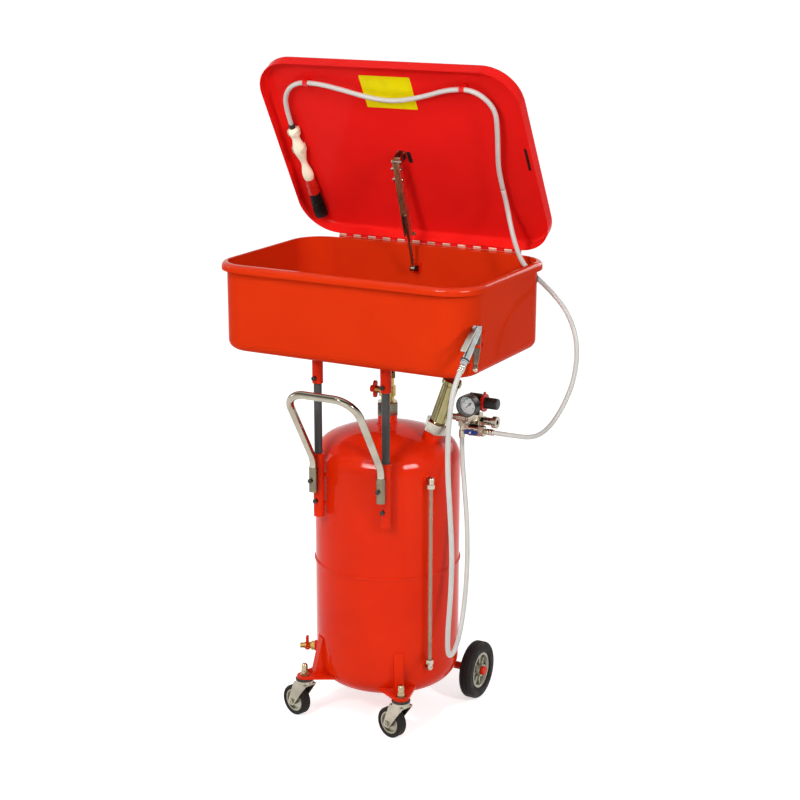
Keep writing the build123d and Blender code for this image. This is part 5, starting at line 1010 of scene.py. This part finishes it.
def hose_fittings():
    """A ferrule on each end of a hose, and the grommet in the sink's corner."""
    wall = np.array([math.cos(HOLE_ANGLE), math.sin(HOLE_ANGLE), 0.0])
    ring = ring_path(HOLE - 0.001 * wall, wall, SEAL_RADIUS, 64)
    show("hose_grommet", round_bead("hose_grommet", ring, SEAL_BEAD), "washer", BLACK)
    tip = GUN_APEX + GRIP_LENGTH * GRIP_WAY
    ferrule("gun_ferrule", tip - 0.004 * GRIP_WAY, GRIP_WAY, 0.0082, 0.018, "washer", NUT_CHROME)
    ferrule("valve_ferrule", tank_place(294, -34, 792), ACROSS, 0.0080, 0.020, "washer", NICKEL)
    ferrule("tee_ferrule", tank_place(210, 0, 778), -UP, 0.0080, 0.020, "washer", NICKEL)
    ferrule("brush_collar", lid_mm(BRUSH_X, BRUSH_TOP), LID_UP, 0.0082, 0.012, "lid", BLACK)


def gun_fittings():
    """A dark grip ring, and on the nozzle a tapered sleeve and the ball at its end."""
    ring_at, ball_at, ball_radius = 0.0875, 0.0925, 0.0064
    ring = ring_path(GUN_APEX + ring_at * GRIP_WAY, GRIP_WAY, SEAL_RADIUS, 64)
    show("gun_grip_ring", round_bead("gun_grip_ring", ring, SEAL_BEAD), "washer", BLACK)
    nozzle_lean = math.radians(6.5)
    way = np.array([0.0, -math.sin(nozzle_lean), -math.cos(nozzle_lean)])
    angle = np.linspace(-math.pi / 2, math.pi / 2, 15)
    ball = ball_radius * np.c_[np.cos(angle), np.sin(angle)]
    mesh = turned("gun_nozzle_ball", ball, GUN_APEX + ball_at * way, way, sides=28)
    show("gun_nozzle_ball", mesh, "washer", NICKEL)
    sleeve = [(0.0050, 0.040), (0.0076, 0.043), (0.0080, 0.055), (0.0072, 0.070), (0.0056, 0.080), (0.0046, 0.083)]
    mesh = turned("gun_nozzle_sleeve", sleeve, GUN_APEX, way, sides=28)
    show("gun_nozzle_sleeve", mesh, "washer", GUN_METAL)


def caster_fittings():
    """A dark seal round each caster's bearing, and the nuts on its axle."""
    heading = math.radians(163)
    trail = np.array([math.cos(heading), math.sin(heading), 0.0])
    spin = np.array([math.sin(heading), -math.cos(heading), 0.0])
    aside, ahead = 141, -186
    seal_height, axle_height = 108.8, 40
    offset, fork_half = 0.032, 0.0195
    for side, word in ((-1, "left"), (1, "right")):
        ring = ring_path(tank_place(side * aside, ahead, seal_height), UP, 0.0212, 64)
        seal = round_bead(f"caster_seal_{word}", ring, 0.0029)
        show(f"caster_seal_{word}", seal, "washer", BLACK)
        hub = tank_place(side * aside, ahead, axle_height) + offset * trail
        for way, end in ((-1, "inner"), (1, "outer")):
            nut = f"caster_nut_{word}_{end}"
            spot = hub + way * fork_half * spin
            hex_head(nut, spot, way * spin, 0.0078, 0.0055, 0.0028, f"{word} caster fork", ZINC)


def tank_welds():
    """Weld beads round the tank's nozzle, its seam and its bosses."""
    nozzle_height, seam_height = 764.2, 412
    sight_azimuth, sight_weld = -29.8, 0.0112
    ring = ring_path(tank_place(0, 0, nozzle_height), UP, 0.0255, 96)
    show("nozzle_weld", round_bead("nozzle_weld", ring, 0.0026, 0.16, 34), "washer", RED)
    ring = ring_path(tank_place(0, 0, seam_height), UP, TANK_RADIUS + 0.001, 240)
    show("seam_weld", round_bead("seam_weld", ring, 0.0021), "washer", RED)
    boss_weld("sight_weld_top", sight_azimuth, 0.669, sight_weld)
    boss_weld("sight_weld_bottom", sight_azimuth, 0.174, sight_weld)
    boss_weld("cock_weld", 207, 0.157, 0.0142)


def hinge_strip():
    """Short red lips between the sink's hinge tabs: a box under each of the lid's knuckles, as one piece."""
    pitch, count = 0.0217, 24
    near, under, thick, tall = -0.005, -0.010, 0.0018, 0.0055
    start = -count * pitch / 2
    corners = np.array([[x, y, z] for x in (0.0, 1.0) for y in (0.0, 1.0) for z in (0.0, 1.0)])
    quads = np.array([[0, 1, 3, 2], [4, 6, 7, 5], [0, 4, 5, 1], [2, 3, 7, 6], [0, 2, 6, 4], [1, 5, 7, 3]])
    index = np.arange(1, count, 2)
    low = np.stack([start + index * pitch, np.full(len(index), near), np.full(len(index), under)], axis=1)
    points = HINGE + low[:, None] + corners[None] * np.array([pitch, thick, tall])
    faces = (np.arange(len(index))[:, None, None] * len(corners) + quads[None]).reshape(-1, 4).tolist()
    show("hinge_strip", welded(mesh_of("hinge_strip", points, faces)), "washer", SINK_RED)


def regulator_tab():
    """The lug on top of the regulator's lock ring."""
    middle = tank_place(270.5, 0, 877)
    soft_block("regulator_tab", middle, (0.0024, 0.0042, 0.0042), "washer", RED_PLASTIC)


brush_bristles()
dial_marks()
lid_fittings()
stay_fittings()
hose_fittings()
gun_fittings()
caster_fittings()
tank_welds()
hinge_strip()
regulator_tab()


# Floor, lamps and camera


def pale_floor():
    """A wide pale floor that keeps the shadow: its glow grows from the washer outwards, as the lamps' light fades."""
    size = 90.0
    near, far = 0.6, 5.0
    near_glow, far_glow = 0.62, 0.78
    mesh = surface("floor", np.array([[[-size, -size, 0], [-size, size, 0]], [[size, -size, 0], [size, size, 0]]]))
    floor = add_object("floor", mesh)
    made, tree, shader = finish_base("pale_floor")
    shader.inputs["Base Color"].default_value = (0.86, 0.86, 0.86, 1.0)
    shader.inputs["Roughness"].default_value = 0.9
    shader.inputs["Specular IOR Level"].default_value = 0.0
    shader.inputs["Emission Color"].default_value = (1.0, 1.0, 1.0, 1.0)
    seen = seen_itself(tree)
    place = own_place(tree)
    away = add_node(tree, "ShaderNodeVectorMath", {0: place}, operation="LENGTH").outputs["Value"]
    glow = ranged(tree, away, near_glow, far_glow, near, far)
    tree.links.new(math_node(tree, "MULTIPLY", seen, glow), shader.inputs["Emission Strength"])
    floor.data.materials.append(made)


def pale_world(level):
    """Even light from all round, and plain white where the camera, metal or glass sees it."""
    world = bpy.data.worlds.new("studio")
    bpy.context.scene.world = world
    world.use_nodes = True
    tree = world.node_tree
    seen = seen_itself(tree)
    back = tree.nodes["Background"]
    back.inputs["Color"].default_value = (1.0, 1.0, 1.0, 1.0)
    tree.links.new(ranged(tree, seen, level, 1.0), back.inputs["Strength"])


def soft_lamp(name, place, target, width, height, power):
    """A rectangular lamp that looks at a place."""
    lamp = bpy.data.lights.new(name, "AREA")
    lamp.shape = "RECTANGLE"
    lamp.size = width
    lamp.size_y = height
    lamp.energy = power
    holder = add_object(name, lamp)
    way = Vector(target) - Vector(place)
    holder.rotation_euler = way.to_track_quat("-Z", "Y").to_euler()
    holder.location = place
    return holder


def highlight_lamp(name, place, target, width, height, power, pieces):
    """A wide lamp that adds no light of its own: it shows only as a highlight on the painted pieces."""
    holder = soft_lamp(name, place, target, width, height, power)
    holder.visible_diffuse = False
    holder.visible_transmission = False
    holder.light_linking.receiver_collection = pieces


def painted_pieces():
    """A collection of every piece that wears one of the three red enamels."""
    painted = bpy.data.collections.new("painted")
    for piece in bpy.context.scene.objects:
        if piece.type == "MESH" and piece.data.materials and piece.data.materials[0] in (RED, SINK_RED, LID_PAINTED_LIGHT_RED):
            painted.objects.link(piece)
    return painted


def photo_camera():
    """The camera of the photograph: turned about the tank and tipped down, with its lens in the picture's pixels."""
    picture = 800
    sensor = 36.0
    turn = math.radians(28.892)
    tip = math.radians(16.706)
    distance = 4.562
    focus = 1800.3
    centre = (387.57, 447.70)
    target = Vector(tank_place(0, 0, 700))
    back = Vector((math.sin(turn) * math.cos(tip), -math.cos(turn) * math.cos(tip), math.sin(tip)))
    right = Vector((math.cos(turn), math.sin(turn), 0.0))
    up = back.cross(right)
    lens = bpy.data.cameras.new("camera")
    lens.sensor_width = sensor
    lens.lens = focus * sensor / picture
    lens.shift_x = (picture / 2 - centre[0]) / picture
    lens.shift_y = (centre[1] - picture / 2) / picture
    lens.clip_end = 300.0
    camera = add_object("camera", lens)
    axes = Matrix((right, up, back)).transposed().to_4x4()
    axes.translation = target + back * distance
    camera.matrix_world = axes
    bpy.context.scene.camera = camera


# Each lamp has its place, the place it looks at, its width, its height and its power in watts
FRONT_PLACE = (-0.05, -2.90, 2.38)
RIGHT_PLACE = (2.75, -1.10, 2.19)
TANK_AIM = (0.0, 0.0, 0.8)
SINK_AIM = (0.0, 0.0, 0.9)
pale_floor()
pale_world(0.30)
soft_lamp("lamp_front", FRONT_PLACE, TANK_AIM, 0.36, 0.38, 36.0)
soft_lamp("lamp_right", RIGHT_PLACE, TANK_AIM, 0.36, 0.38, 40.0)
soft_lamp("lamp_left", (-2.90, -0.80, 1.40), TANK_AIM, 1.0, 1.4, 16.0)
soft_lamp("lamp_low", (0.80, -3.60, 0.90), SINK_AIM, 1.6, 1.0, 8.0)
soft_lamp("lamp_high", (-0.3, -2.2, 3.3), SINK_AIM, 1.2, 1.2, 32.0)
soft_lamp("lamp_rear", (0.9, 3.3, 2.1), SINK_AIM, 1.6, 1.4, 26.0)
PAINTED = painted_pieces()
highlight_lamp("highlight_front", FRONT_PLACE, TANK_AIM, 1.3, 1.0, 300.0, PAINTED)
highlight_lamp("highlight_right", RIGHT_PLACE, TANK_AIM, 1.3, 1.0, 300.0, PAINTED)
photo_camera()
bpy.context.scene.view_settings.view_transform = "Standard"
